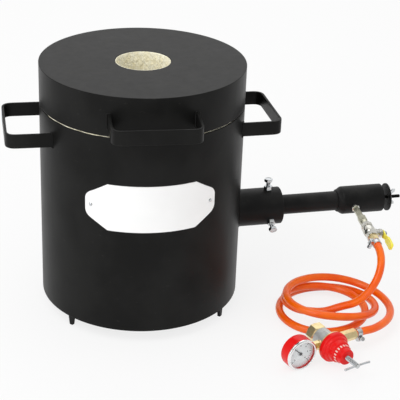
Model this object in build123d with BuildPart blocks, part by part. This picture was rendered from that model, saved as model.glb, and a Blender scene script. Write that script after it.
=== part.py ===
from build123d import *
from math import asin, cos, degrees, radians, sin, sqrt, tan
import os

os.makedirs("parts", exist_ok=True)

# Driving dimensions in millimetres and degrees
SHELL_R = 165.0
SHELL_T = 3.0
FOOT_H = 20.0
BASE_T = 4.0
JOINT_Z = 353.0
TOP_Z = 420.0
LID_GAP = 2.0
WOOL_T = 50.0
WOOL_GAP = 0.4
FLOOR_WOOL_TOP = 62.0
FLOOR_DISC_T = 12.0
COATING_T = 3.0
VENT_R = 44.5
VENT_WOOL_T = 2.0

FOOT_W_TOP = 12.0
FOOT_W_FLOOR = 6.0
FOOT_T = 5.0
FOOT_RADIUS = SHELL_R - 8.5
FOOT_TURNS = (37, 141, 219, 323)

HANDLE_BAR_H = 23.0
HANDLE_BAR_T = 4.0
HANDLE_REACH = 51.5
LEFT_HANDLE_REACH = 56.0
HANDLE_HALF = 66.5
HANDLE_BEND = 16.0
LID_HANDLE_Z = 380.0
LEFT_HANDLE_Z = 318.0
RIGHT_HANDLE_Z = 320.5
LEFT_HANDLE_TURN = 182.0
RIGHT_HANDLE_TURN = 4.3

PLATE_Z = 237.5
PLATE_HALF_H = 39.0
PLATE_HALF_FLAT = 68.4
PLATE_HALF_W = 101.0
PLATE_END_HALF_H = 17.0
PLATE_T = 1.2
PLATE_RIVET_REACH = PLATE_HALF_W - 8.5
PLATE_RIVET_TURN = degrees(asin(PLATE_RIVET_REACH / SHELL_R))
RIVET_R = 1.6

BURNER_Z = 146.0
BURNER_TURN = 5.0
HOLDER_R = 31.75
HOLDER_T = 3.0
HOLDER_START = SHELL_R - 13.0
HOLDER_END = SHELL_R + 77.0
SCREW_AT = SHELL_R + 55.5
SCREW_R = 4.0
SCREW_ANGLES = (90.0, -30.0, 210.0)
SCREW_HEX = 13.0
TUBE_R = 16.85
TUBE_T = 3.25
TUBE_START = SHELL_R - 15.0
TUBE_END = SHELL_R + 181.0
TUBE_LAP = 5.0
FLARE_R = 24.0
FLARE_T = 2.6
FLARE_START = SHELL_R - WOOL_T + 3.0
FLARE_END = SHELL_R + 13.0
BELL_R = 24.15
BELL_T = 3.0
BELL_START = TUBE_END - 1.5
BELL_FULL = TUBE_END + 9.0
BELL_END = TUBE_END + 81.0
BRIDGE_AT = BELL_END - 12.0
BRIDGE_W = 10.0
BRIDGE_T = 4.0
ROD_R = 3.0
ROD_END = BELL_END + 36.0
CHOKE_AT = BELL_END + 9.5
CHOKE_R = 24.0
CHOKE_T = 3.0

RUN_CLEARANCE = 0.05

GAS_AT = TUBE_END + 26.0
GAS_DROP = 7.0
STEM_DROP = 15.0
JET_R = 5.0
VALVE_AT = 100.0
VALVE_R = 10.5
BALL_R = 7.0
BALL_BORE_R = 3.4
STEM_R = 3.0
LEVER_L = 42.0
LEVER_W = 10.0
LEVER_T = 3.0

HOSE_R = 6.5
HOSE_BORE_R = 3.15
BARB_R = 3.1
GAS_BORE_R = 1.5
HOSE_FROM = 130.0
CLAMP_W = 9.0
CLAMP_BOX_L = 11.0
CLAMP_BOX_H = 7.4
CLAMP_SCREW_R = 2.5
CLAMP_HEX = 7.0

REG_X = -95.1
REG_Y = -266.6
REG_Z = 27.0
REG_TURN = -67.4
PORT_AT = -1.0
OUTLET_END = 55.0
BODY_BACK = -20.0
NUT_MOUTH = BODY_BACK - 18.0
THREAD_R = 10.2
THREAD_L = 10.6
COLLAR_R = 16.2
COLLAR_L = 26.0
FLANGE_FACE = 10.4
DIAPHRAGM_T = 1.0
GAUGE_AT = 58.0
GAUGE_R = 26.6
GAUGE_BACK = -9.5

# Frames of reference
burner_dir = Vector(cos(radians(BURNER_TURN)), sin(radians(BURNER_TURN)), 0)
burner_side = Vector(sin(radians(BURNER_TURN)), -cos(radians(BURNER_TURN)), 0)
burner_axis = Axis((0, 0, BURNER_Z), burner_dir)
burner_plane = Plane(origin=(0, 0, BURNER_Z), x_dir=burner_dir, z_dir=burner_side)
gas_dir = burner_side * cos(radians(GAS_DROP)) - Vector(0, 0, 1) * sin(radians(GAS_DROP))
gas_root = Vector(0, 0, BURNER_Z) + burner_dir * GAS_AT
gas_up = gas_dir.cross(burner_dir)
stem_dir = burner_dir * cos(radians(STEM_DROP)) - gas_up * sin(radians(STEM_DROP))
reg_dir = Vector(cos(radians(REG_TURN)), sin(radians(REG_TURN)), 0)
port_dir = Vector(-sin(radians(REG_TURN)), cos(radians(REG_TURN)), 0)
gas_foot = burner_dir * GAS_AT
reg_root = gas_foot + Vector(REG_X, REG_Y, REG_Z)
reg_axis = Axis(reg_root, reg_dir)
reg_plane = Plane(origin=reg_root, x_dir=reg_dir, z_dir=port_dir * -1)
port_root = reg_root + reg_dir * PORT_AT
gauge_root = port_root - port_dir * GAUGE_AT
gauge_axis = Axis(gauge_root, reg_dir)
gauge_plane = Plane(origin=gauge_root, x_dir=reg_dir, z_dir=port_dir * -1)


def burner_cross(along: float) -> Plane:
    """Plane square to the burner, at a distance from the furnace axis."""
    spot = Vector(0, 0, BURNER_Z) + burner_dir * along
    return Plane(origin=spot, x_dir=burner_side, z_dir=burner_dir)


def screw_cross(angle: float, out: float) -> Plane:
    """Plane square to a clamp screw, at a distance from the burner axis."""
    way = burner_side * cos(radians(angle)) + Vector(0, 0, 1) * sin(radians(angle))
    spot = Vector(0, 0, BURNER_Z) + burner_dir * SCREW_AT + way * out
    return Plane(origin=spot, x_dir=burner_dir, z_dir=way)


def gas_cross(along: float) -> Plane:
    """Plane square to the gas line, with its x along the valve stem."""
    return Plane(origin=gas_root + gas_dir * along, x_dir=stem_dir, z_dir=gas_dir)


def stem_cross(out: float) -> Plane:
    """Plane square to the valve stem, with its x along the gas line."""
    spot = gas_root + gas_dir * VALVE_AT + stem_dir * out
    return Plane(origin=spot, x_dir=gas_dir, z_dir=stem_dir)


def reg_cross(along: float) -> Plane:
    """Plane square to the regulator's axis."""
    return Plane(origin=reg_root + reg_dir * along, x_dir=port_dir, z_dir=reg_dir)


def port_cross(along: float) -> Plane:
    """Plane square to the regulator's side ports."""
    return Plane(origin=port_root + port_dir * along, x_dir=reg_dir, z_dir=port_dir)


def gauge_cross(along: float) -> Plane:
    """Plane square to the gauge's axis."""
    return Plane(origin=gauge_root + reg_dir * along, x_dir=port_dir, z_dir=reg_dir)


def radial_plane(turn: float, height: float, out: float) -> Plane:
    """Plane facing outward from the drum at an angle round it."""
    way = Vector(cos(radians(turn)), sin(radians(turn)), 0)
    spot = way * out + Vector(0, 0, height)
    return Plane(origin=spot, x_dir=(-sin(radians(turn)), cos(radians(turn)), 0), z_dir=way)


def turned_plane(turn: float, height: float) -> Plane:
    """Level plane with its x toward an angle round the drum."""
    way = (cos(radians(turn)), sin(radians(turn)), 0)
    return Plane(origin=(0, 0, height), x_dir=way, z_dir=(0, 0, 1))


# Drum
with BuildPart() as body_shell:
    with BuildSketch(Plane.XY.offset(FOOT_H)):
        Circle(SHELL_R)
        Circle(SHELL_R - SHELL_T, mode=Mode.SUBTRACT)
    extrude(amount=JOINT_Z - FOOT_H)
    with BuildSketch(burner_cross(SHELL_R - 20)):
        Circle(HOLDER_R + RUN_CLEARANCE)
    extrude(amount=40, mode=Mode.SUBTRACT)
    for side in (-1, 1):
        with BuildSketch(radial_plane(-90 + side * PLATE_RIVET_TURN, PLATE_Z, SHELL_R - 10)):
            Circle(RIVET_R + RUN_CLEARANCE)
        extrude(amount=20, mode=Mode.SUBTRACT)

with BuildPart() as base_plate:
    with BuildSketch(Plane.XY.offset(FOOT_H)):
        Circle(SHELL_R - SHELL_T)
    extrude(amount=BASE_T)

with BuildPart() as feet:
    for turn in FOOT_TURNS:
        with BuildSketch(radial_plane(turn, 0, FOOT_RADIUS)):
            with BuildLine():
                Polyline(
                    (-FOOT_W_FLOOR / 2, 0),
                    (FOOT_W_FLOOR / 2, 0),
                    (FOOT_W_TOP / 2, FOOT_H),
                    (-FOOT_W_TOP / 2, FOOT_H),
                    close=True,
                )
            make_face()
        extrude(amount=FOOT_T / 2, both=True)

with BuildPart() as floor_insulation:
    with BuildSketch(Plane.XY.offset(FOOT_H + BASE_T)):
        Circle(SHELL_R - SHELL_T)
    extrude(amount=FLOOR_WOOL_TOP - FOOT_H - BASE_T)

WOOL_R = SHELL_R - SHELL_T - WOOL_T
WOOL_TOP = JOINT_Z + 1.3

with BuildPart() as body_wool:
    with BuildSketch(Plane.XY.offset(FLOOR_WOOL_TOP)):
        Circle(SHELL_R - SHELL_T)
        Circle(WOOL_R, mode=Mode.SUBTRACT)
    extrude(amount=WOOL_TOP - FLOOR_WOOL_TOP)
    with BuildSketch(burner_cross(WOOL_R - 30)):
        Circle(HOLDER_R + RUN_CLEARANCE)
    extrude(amount=100, mode=Mode.SUBTRACT)

with BuildPart() as hot_face_coating:
    with BuildSketch(Plane.XY.offset(FLOOR_WOOL_TOP)):
        Circle(WOOL_R)
        Circle(WOOL_R - COATING_T, mode=Mode.SUBTRACT)
    extrude(amount=JOINT_Z - FLOOR_WOOL_TOP)
    with BuildSketch(burner_cross(WOOL_R - 30)):
        Circle(HOLDER_R + RUN_CLEARANCE)
    extrude(amount=60, mode=Mode.SUBTRACT)

with BuildPart() as refractory_floor:
    with BuildSketch(Plane.XY.offset(FLOOR_WOOL_TOP)):
        Circle(WOOL_R - COATING_T)
    extrude(amount=FLOOR_DISC_T)

# Handles, each one bent bar
with BuildPart() as body_handle_left:
    with BuildSketch(turned_plane(LEFT_HANDLE_TURN, LEFT_HANDLE_Z)):
        with BuildLine():
            FilletPolyline(
                (SHELL_R * 0.88, -HANDLE_HALF),
                (SHELL_R + LEFT_HANDLE_REACH, -HANDLE_HALF),
                (SHELL_R + LEFT_HANDLE_REACH, HANDLE_HALF),
                (SHELL_R * 0.88, HANDLE_HALF),
                radius=HANDLE_BEND,
            )
        trace(line_width=HANDLE_BAR_T)
    extrude(amount=HANDLE_BAR_H / 2, both=True)
    with BuildSketch(Plane.XY.offset(LEFT_HANDLE_Z)):
        Circle(SHELL_R)
    extrude(amount=HANDLE_BAR_H, both=True, mode=Mode.SUBTRACT)

with BuildPart() as body_handle_right:
    with BuildSketch(turned_plane(RIGHT_HANDLE_TURN, RIGHT_HANDLE_Z)):
        with BuildLine():
            FilletPolyline(
                (SHELL_R * 0.88, -HANDLE_HALF),
                (SHELL_R + HANDLE_REACH, -HANDLE_HALF),
                (SHELL_R + HANDLE_REACH, HANDLE_HALF),
                (SHELL_R * 0.88, HANDLE_HALF),
                radius=HANDLE_BEND,
            )
        trace(line_width=HANDLE_BAR_T)
    extrude(amount=HANDLE_BAR_H / 2, both=True)
    with BuildSketch(Plane.XY.offset(RIGHT_HANDLE_Z)):
        Circle(SHELL_R)
    extrude(amount=HANDLE_BAR_H, both=True, mode=Mode.SUBTRACT)

# Nameplate rolled round the drum, with its two rivets
with BuildPart() as nameplate:
    with BuildSketch(Plane.XY.offset(PLATE_Z - PLATE_HALF_H - 5)):
        Circle(SHELL_R + PLATE_T)
        Circle(SHELL_R, mode=Mode.SUBTRACT)
    extrude(amount=2 * PLATE_HALF_H + 10)
    with BuildSketch(Plane(origin=(0, 0, PLATE_Z), x_dir=(1, 0, 0), z_dir=(0, -1, 0))) as outline:
        with BuildLine():
            Polyline(
                (-PLATE_HALF_FLAT, -PLATE_HALF_H),
                (PLATE_HALF_FLAT, -PLATE_HALF_H),
                (PLATE_HALF_W, -PLATE_END_HALF_H),
                (PLATE_HALF_W, PLATE_END_HALF_H),
                (PLATE_HALF_FLAT, PLATE_HALF_H),
                (-PLATE_HALF_FLAT, PLATE_HALF_H),
                (-PLATE_HALF_W, PLATE_END_HALF_H),
                (-PLATE_HALF_W, -PLATE_END_HALF_H),
                close=True,
            )
        make_face()
        fillet(outline.vertices().group_by(Axis.X)[0], 16)
        fillet(outline.vertices().group_by(Axis.X)[-1], 16)
    extrude(amount=SHELL_R + 20, mode=Mode.INTERSECT)
    for side in (-1, 1):
        with BuildSketch(radial_plane(-90 + side * PLATE_RIVET_TURN, PLATE_Z, SHELL_R - 10)):
            Circle(RIVET_R + RUN_CLEARANCE)
        extrude(amount=20, mode=Mode.SUBTRACT)

with BuildPart() as nameplate_rivets:
    for side in (-1, 1):
        turn = radians(-90 + side * PLATE_RIVET_TURN)
        way = Vector(cos(turn), sin(turn), 0)
        rivet_plane = Plane(origin=way * SHELL_R + Vector(0, 0, PLATE_Z), x_dir=way, z_dir=(0, 0, 1))
        with BuildSketch(rivet_plane):
            with BuildLine():
                Polyline((-SHELL_T, 0), (PLATE_T + 1.9, 0))
                Polyline((PLATE_T + 1.9, 0), (PLATE_T + 1.6, 1.9), (PLATE_T + 0.1, 3.2), (PLATE_T + 0.1, RIVET_R))
                Polyline((PLATE_T + 0.1, RIVET_R), (-SHELL_T, RIVET_R), (-SHELL_T, 0))
            make_face()
        revolve(axis=Axis(way * SHELL_R + Vector(0, 0, PLATE_Z), way))

# Lid
LID_Z = JOINT_Z + LID_GAP
LID_WOOL_Z = WOOL_TOP + WOOL_GAP

with BuildPart() as lid_band:
    with BuildSketch(Plane.XY.offset(LID_Z)):
        Circle(SHELL_R)
        Circle(SHELL_R - SHELL_T, mode=Mode.SUBTRACT)
    extrude(amount=TOP_Z - SHELL_T - LID_Z)

with BuildPart() as lid_top_plate:
    with BuildSketch(Plane.XY.offset(TOP_Z - SHELL_T)):
        Circle(SHELL_R)
        Circle(VENT_R, mode=Mode.SUBTRACT)
    extrude(amount=SHELL_T)

with BuildPart() as lid_wool:
    with BuildSketch(Plane.XY.offset(LID_WOOL_Z)):
        Circle(SHELL_R - SHELL_T)
        Circle(VENT_R - VENT_WOOL_T, mode=Mode.SUBTRACT)
    extrude(amount=TOP_Z - SHELL_T - LID_WOOL_Z)
    with BuildSketch(Plane.XY.offset(TOP_Z - SHELL_T)):
        Circle(VENT_R)
        Circle(VENT_R - VENT_WOOL_T, mode=Mode.SUBTRACT)
    extrude(amount=SHELL_T)

with BuildPart() as lid_handle_front:
    with BuildSketch(turned_plane(-90, LID_HANDLE_Z)):
        with BuildLine():
            FilletPolyline(
                (SHELL_R * 0.88, -HANDLE_HALF),
                (SHELL_R + HANDLE_REACH, -HANDLE_HALF),
                (SHELL_R + HANDLE_REACH, HANDLE_HALF),
                (SHELL_R * 0.88, HANDLE_HALF),
                radius=HANDLE_BEND,
            )
        trace(line_width=HANDLE_BAR_T)
    extrude(amount=HANDLE_BAR_H / 2, both=True)
    with BuildSketch(Plane.XY.offset(LID_HANDLE_Z)):
        Circle(SHELL_R)
    extrude(amount=HANDLE_BAR_H, both=True, mode=Mode.SUBTRACT)

with BuildPart() as lid_handle_rear:
    with BuildSketch(turned_plane(90, LID_HANDLE_Z)):
        with BuildLine():
            FilletPolyline(
                (SHELL_R * 0.88, -HANDLE_HALF),
                (SHELL_R + HANDLE_REACH, -HANDLE_HALF),
                (SHELL_R + HANDLE_REACH, HANDLE_HALF),
                (SHELL_R * 0.88, HANDLE_HALF),
                radius=HANDLE_BEND,
            )
        trace(line_width=HANDLE_BAR_T)
    extrude(amount=HANDLE_BAR_H / 2, both=True)
    with BuildSketch(Plane.XY.offset(LID_HANDLE_Z)):
        Circle(SHELL_R)
    extrude(amount=HANDLE_BAR_H, both=True, mode=Mode.SUBTRACT)

# Burner holder and its three clamp screws
with BuildPart() as burner_holder:
    with BuildSketch(burner_cross(HOLDER_START)):
        Circle(HOLDER_R)
        Circle(HOLDER_R - HOLDER_T, mode=Mode.SUBTRACT)
    extrude(amount=HOLDER_END - HOLDER_START)
    for angle in SCREW_ANGLES:
        with BuildSketch(screw_cross(angle, HOLDER_R - 10)):
            Circle(SCREW_R + RUN_CLEARANCE)
        extrude(amount=20, mode=Mode.SUBTRACT)

with BuildPart() as holder_nuts:
    for angle in SCREW_ANGLES:
        with BuildSketch(screw_cross(angle, HOLDER_R - 0.2)):
            RegularPolygon(SCREW_HEX / 2, 6, major_radius=False)
            Circle(SCREW_R + RUN_CLEARANCE, mode=Mode.SUBTRACT)
        extrude(amount=6.5)
    with BuildSketch(burner_cross(SCREW_AT - 15)):
        Circle(HOLDER_R)
    extrude(amount=30, mode=Mode.SUBTRACT)

SCREW_TIP = TUBE_R + 0.4
SCREW_HEAD = 46.0

with BuildPart() as holder_screw_1:
    with BuildSketch(screw_cross(SCREW_ANGLES[0], SCREW_TIP)):
        Circle(SCREW_R)
    extrude(amount=SCREW_HEAD - SCREW_TIP)
    with BuildSketch(screw_cross(SCREW_ANGLES[0], SCREW_HEAD)):
        RegularPolygon(SCREW_HEX / 2, 6, major_radius=False)
    extrude(amount=5.3)

with BuildPart() as holder_screw_2:
    with BuildSketch(screw_cross(SCREW_ANGLES[1], SCREW_TIP)):
        Circle(SCREW_R)
    extrude(amount=SCREW_HEAD - SCREW_TIP)
    with BuildSketch(screw_cross(SCREW_ANGLES[1], SCREW_HEAD)):
        RegularPolygon(SCREW_HEX / 2, 6, major_radius=False)
    extrude(amount=5.3)

with BuildPart() as holder_screw_3:
    with BuildSketch(screw_cross(SCREW_ANGLES[2], SCREW_TIP)):
        Circle(SCREW_R)
    extrude(amount=SCREW_HEAD - SCREW_TIP)
    with BuildSketch(screw_cross(SCREW_ANGLES[2], SCREW_HEAD)):
        RegularPolygon(SCREW_HEX / 2, 6, major_radius=False)
    extrude(amount=5.3)

# Burner tube, flare and bell
with BuildPart() as mixing_tube:
    with BuildSketch(burner_cross(TUBE_START)):
        Circle(TUBE_R)
        Circle(TUBE_R - TUBE_T, mode=Mode.SUBTRACT)
    extrude(amount=TUBE_END + TUBE_LAP - TUBE_START)

with BuildPart() as flame_flare:
    with BuildSketch(burner_plane):
        with BuildLine():
            Polyline(
                (FLARE_START, FLARE_R),
                (FLARE_START, FLARE_R - FLARE_T),
                (TUBE_START - 2, TUBE_R - TUBE_T),
                (TUBE_START, TUBE_R - TUBE_T),
                (TUBE_START, TUBE_R),
                (FLARE_END, TUBE_R),
                (FLARE_END, TUBE_R + FLARE_T),
                (TUBE_START - 2, TUBE_R + FLARE_T),
                close=True,
            )
        make_face()
    revolve(axis=burner_axis)

with BuildPart() as burner_bell:
    with BuildSketch(burner_plane):
        with BuildLine():
            Polyline(
                (BELL_START, TUBE_R),
                (BELL_START, TUBE_R + 2.4),
                (BELL_START + 2.5, TUBE_R + 2.8),
                (BELL_FULL, BELL_R),
                (BELL_END, BELL_R),
                (BELL_END, BELL_R - BELL_T),
                (BELL_FULL + 1, BELL_R - BELL_T),
                (TUBE_END + TUBE_LAP + 1, TUBE_R),
                close=True,
            )
        make_face()
    revolve(axis=burner_axis)
    with BuildSketch(gas_cross(12)):
        Circle(JET_R + RUN_CLEARANCE)
    extrude(amount=20, mode=Mode.SUBTRACT)

BELL_IN = BELL_R - BELL_T

with BuildPart() as choke_rod:
    with BuildSketch(burner_cross(BRIDGE_AT)):
        Circle(BELL_IN)
        Rectangle(BRIDGE_W, 2 * BELL_R, mode=Mode.INTERSECT)
    extrude(amount=BRIDGE_T)
    with BuildSketch(burner_cross(BRIDGE_AT - 3)):
        Circle(ROD_R)
    extrude(amount=ROD_END - BRIDGE_AT + 3)

with BuildPart() as choke_plate:
    with BuildSketch(burner_cross(CHOKE_AT)):
        Circle(CHOKE_R)
        Circle(ROD_R + RUN_CLEARANCE, mode=Mode.SUBTRACT)
    extrude(amount=CHOKE_T)

WING_AT = CHOKE_AT + CHOKE_T + 0.4

with BuildPart() as choke_wing_nut:
    with BuildSketch(burner_cross(WING_AT)):
        Circle(6.2)
    extrude(amount=7, taper=8)
    with BuildSketch(burner_plane) as wing:
        with BuildLine():
            Polyline(
                (WING_AT + 1.5, 0),
                (WING_AT + 3, 7),
                (WING_AT + 9, 14.5),
                (WING_AT + 13.5, 14),
                (WING_AT + 13, 9.5),
                (WING_AT + 6, 3.5),
                (WING_AT + 6, -3.5),
                (WING_AT + 13, -9.5),
                (WING_AT + 13.5, -14),
                (WING_AT + 9, -14.5),
                (WING_AT + 3, -7),
                close=True,
            )
        make_face()
    extrude(amount=1.1, both=True)
    with BuildSketch(burner_cross(WING_AT - 5)):
        Circle(ROD_R + RUN_CLEARANCE)
    extrude(amount=30, mode=Mode.SUBTRACT)

# Gas line from the bell to the hose
with BuildPart() as jet_tube:
    with BuildSketch(gas_cross(-18)):
        Circle(JET_R)
    extrude(amount=48)
    with BuildSketch(gas_cross(-15)):
        Circle(JET_R - 1.8)
    extrude(amount=45, mode=Mode.SUBTRACT)
    with BuildSketch(burner_cross(GAS_AT - 10)):
        Circle(0.6)
    extrude(amount=10, mode=Mode.SUBTRACT)

with BuildPart() as jet_lock_nut:
    with BuildSketch(gas_cross(24.6)):
        RegularPolygon(6.2, 6, major_radius=False)
        Circle(JET_R, mode=Mode.SUBTRACT)
    extrude(amount=5.4)

with BuildPart() as jet_holder:
    with BuildSketch(gas_cross(30)):
        RegularPolygon(4.7, 6, major_radius=False)
        Circle(3, mode=Mode.SUBTRACT)
    extrude(amount=27)

with BuildPart() as reducing_nipple:
    with BuildSketch(gas_cross(57)):
        RegularPolygon(6.5, 6, major_radius=False)
    extrude(amount=15)
    with BuildSketch(gas_cross(72)):
        Circle(6.6)
    extrude(amount=10)
    with BuildSketch(gas_cross(56)):
        Circle(3)
    extrude(amount=27, mode=Mode.SUBTRACT)

with BuildPart() as valve_body:
    with BuildSketch(gas_cross(82)):
        RegularPolygon(9, 6, major_radius=False)
    extrude(amount=9)
    with BuildSketch(gas_cross(91)):
        Circle(VALVE_R)
    extrude(amount=18)
    with BuildSketch(gas_cross(109)):
        RegularPolygon(9, 6, major_radius=False)
    extrude(amount=8)
    with BuildSketch(stem_cross(0)):
        Circle(6)
    extrude(amount=17)
    with BuildSketch(gas_cross(80)):
        Circle(BALL_BORE_R)
    extrude(amount=40, mode=Mode.SUBTRACT)
    with BuildSketch(stem_cross(0)):
        Circle(STEM_R + RUN_CLEARANCE)
    extrude(amount=20, mode=Mode.SUBTRACT)
    with BuildSketch(Plane(origin=gas_root + gas_dir * VALVE_AT, x_dir=stem_dir, z_dir=gas_dir)):
        with BuildLine():
            CenterArc((0, 0), BALL_R + RUN_CLEARANCE, 0, 180)
            Line((-BALL_R - RUN_CLEARANCE, 0), (BALL_R + RUN_CLEARANCE, 0))
        make_face()
    revolve(axis=Axis(gas_root + gas_dir * VALVE_AT, stem_dir), mode=Mode.SUBTRACT)

with BuildPart() as valve_ball:
    with BuildSketch(Plane(origin=gas_root + gas_dir * VALVE_AT, x_dir=stem_dir, z_dir=gas_dir)):
        with BuildLine():
            CenterArc((0, 0), BALL_R, 0, 180)
            Line((-BALL_R, 0), (BALL_R, 0))
        make_face()
    revolve(axis=Axis(gas_root + gas_dir * VALVE_AT, stem_dir))
    with BuildSketch(gas_cross(VALVE_AT - 10)):
        Circle(BALL_BORE_R)
    extrude(amount=20, mode=Mode.SUBTRACT)
    with BuildSketch(stem_cross(5.6)):
        Circle(STEM_R)
    extrude(amount=5, mode=Mode.SUBTRACT)

with BuildPart() as valve_stem:
    with BuildSketch(stem_cross(5.6)):
        Circle(STEM_R)
    extrude(amount=26.4)

with BuildPart() as valve_gland_nut:
    with BuildSketch(stem_cross(17)):
        RegularPolygon(6.5, 6, major_radius=False)
        Circle(STEM_R + RUN_CLEARANCE, mode=Mode.SUBTRACT)
    extrude(amount=6)

with BuildPart() as valve_lever:
    with BuildSketch(stem_cross(24)):
        with Locations((LEVER_L / 2 - 4, 0)):
            SlotOverall(LEVER_L + 6, LEVER_W)
        Circle(STEM_R, mode=Mode.SUBTRACT)
    extrude(amount=LEVER_T)

with BuildPart() as lever_nut:
    with BuildSketch(stem_cross(24 + LEVER_T)):
        RegularPolygon(4.6, 6, major_radius=False)
        Circle(STEM_R, mode=Mode.SUBTRACT)
    extrude(amount=4)

with BuildPart() as hose_barb:
    with BuildSketch(gas_cross(117)):
        RegularPolygon(7, 6, major_radius=False)
    extrude(amount=HOSE_FROM - 0.6 - 117)
    with BuildSketch(gas_cross(HOSE_FROM - 1)):
        Circle(BARB_R)
    extrude(amount=11)
    with BuildSketch(gas_cross(116)):
        Circle(GAS_BORE_R)
    extrude(amount=40, mode=Mode.SUBTRACT)

# Hose, first the lead from the valve down to the loops, its heights as shares of the drop
lead_start = gas_root + gas_dir * HOSE_FROM
LEAD_SPOTS = (
    (10.9, -172.4, 0.757),
    (2.9, -189.4, 0.609),
    (-11.6, -197.4, 0.424),
    (-31.1, -192.9, 0.226),
    (-54.6, -181.4, 0.124),
    (-78.1, -175.4, 0.023),
)
COIL_X = -98.6
COIL_Y = -168.4
COIL_Z = 25.0
coil_start = gas_foot + Vector(COIL_X, COIL_Y, COIL_Z)
coil_way = Vector(-0.93, 0.34, -0.14).normalized()
lead_spots = [
    lead_start,
    lead_start + gas_dir * 20,
]
for x, y, share in LEAD_SPOTS:
    lead_spots.append(gas_foot + Vector(x, y, COIL_Z + share * (BURNER_Z - COIL_Z)))
lead_spots.append(coil_start - coil_way * 0.5)
lead_radii = []
for before, here, after in zip(lead_spots, lead_spots[1:], lead_spots[2:]):
    run_in = here - before
    run_out = after - here
    shorter = min(run_in.length, run_out.length)
    turn = radians(run_in.get_angle(run_out))
    lead_radii.append(0.45 * shorter / tan(turn / 2))
    print("lead run", round(run_in.length, 1), "turn", round(degrees(turn), 1), "radius", round(lead_radii[-1], 1))

with BuildPart() as hose_lead:
    with BuildLine():
        FilletPolyline(*lead_spots, radius=lead_radii)
    with BuildSketch(gas_cross(HOSE_FROM)):
        Circle(HOSE_R)
        Circle(HOSE_BORE_R, mode=Mode.SUBTRACT)
    sweep()
lead_length = sum((b - a).length for a, b in zip(lead_spots, lead_spots[1:]))
print("lead", round(lead_length, 1), "volume", round(hose_lead.part.volume, 1))

# Loops on the floor, each station a bearing from the loops' middle, a reach and a height
LOOP_X = -58.6
LOOP_Y = -138.4
STATIONS = (
    ("left_back", 80.0, 21.0),
    ("back", 62.0, 18.5),
    ("right", 58.0, 12.5),
    ("front", 65.0, 8.0),
    ("front_left", 80.0, 7.3),
    ("left", 86.0, 7.3),
    ("back", 78.0, 7.7),
    ("right", 76.0, 15.5),
    ("front", 66.0, 35.1),
    ("left", 77.0, 37.0),
    ("back", 67.0, 34.0),
    ("right", 97.0, 19.5),
)
BEARINGS = {
    "front": -90.0,
    "front_left": -135.0,
    "left": 180.0,
    "left_back": 162.0,
    "back": 90.0,
    "right": 0.0,
}
STRAIGHT_END = 14.0

hose_end = port_root + port_dir * OUTLET_END
spots = [coil_start + coil_way * 2 * HOSE_R]
reaches = [None]
for bearing, reach, height in STATIONS:
    way = Vector(cos(radians(BEARINGS[bearing])), sin(radians(BEARINGS[bearing])), 0)
    spots.append(gas_foot + Vector(LOOP_X, LOOP_Y, height) + way * reach)
    reaches.append(way)
spots.append(hose_end + port_dir * STRAIGHT_END)
reaches.append(None)

# At each station the hose heads from the spot before to the spot after, mostly square to the reach
headings = [coil_way]
for index in range(1, len(spots) - 1):
    heading = (spots[index + 1] - spots[index - 1]).normalized()
    inward = reaches[index] * heading.dot(reaches[index]) * 0.7
    headings.append((heading - inward).normalized())
headings.append(port_dir * -1)


def join_point(start: Vector, start_way: Vector, end: Vector, end_way: Vector) -> Vector:
    """Where two arcs meet that leave one spot and reach the next along given headings."""
    gap = end - start
    both_ways = start_way + end_way
    spread = 2 * (1 - start_way.dot(end_way))
    across = gap.dot(both_ways)
    reach = (sqrt(across * across + spread * gap.dot(gap)) - across) / spread
    return (start + start_way * reach + end - end_way * reach) * 0.5


def arc_samples(start: Vector, way: Vector, end: Vector) -> tuple:
    """Points along an arc, the way it ends and its radius."""
    chord = end - start
    half = radians(way.get_angle(chord))
    if half < 1e-5:
        return [start, end], way, 1e6
    side = (chord - way * chord.dot(way)).normalized()
    bend = chord.length / (2 * sin(half))
    points = []
    for step in range(9):
        angle = 2 * half * step / 8
        points.append(start + way * (bend * sin(angle)) + side * (bend * (1 - cos(angle))))
    return points, way * cos(2 * half) + side * sin(2 * half), bend


coil_points = [coil_start, coil_start + coil_way * HOSE_R]
coil_radii = []
arcs = []
for index in range(len(spots) - 1):
    middle = join_point(spots[index], headings[index], spots[index + 1], headings[index + 1])
    first, middle_way, first_bend = arc_samples(spots[index], headings[index], middle)
    second, last_way, second_bend = arc_samples(middle, middle_way, spots[index + 1])
    arcs.append((spots[index], headings[index], middle))
    arcs.append((middle, middle_way, spots[index + 1]))
    coil_points += first[:-1] + second[:-1]
    coil_radii += [round(first_bend, 1), round(second_bend, 1)]
coil_points += [spots[-1], hose_end]

with BuildPart() as hose_coil:
    with BuildLine():
        Line(coil_start, spots[0])
        for start, way, end in arcs:
            TangentArc(start, end, tangent=way)
        Line(spots[-1], hose_end)
    with BuildSketch(Plane(origin=coil_start, z_dir=coil_way)):
        Circle(HOSE_R)
        Circle(HOSE_BORE_R, mode=Mode.SUBTRACT)
    sweep()

travelled = [0.0]
for a, b in zip(coil_points, coil_points[1:]):
    travelled.append(travelled[-1] + (b - a).length)
least_gap = 1e9
for i, a in enumerate(coil_points):
    for j in range(i + 1, len(coil_points)):
        if travelled[j] - travelled[i] > 60:
            least_gap = min(least_gap, (coil_points[j] - a).length - 2 * HOSE_R)
print("coil", round(travelled[-1], 1), "radii", coil_radii)
print("coil least gap on points", round(least_gap, 2), "lowest", round(min(p.Z for p in coil_points), 2))
print("coil volume", round(hose_coil.part.volume, 1))

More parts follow.
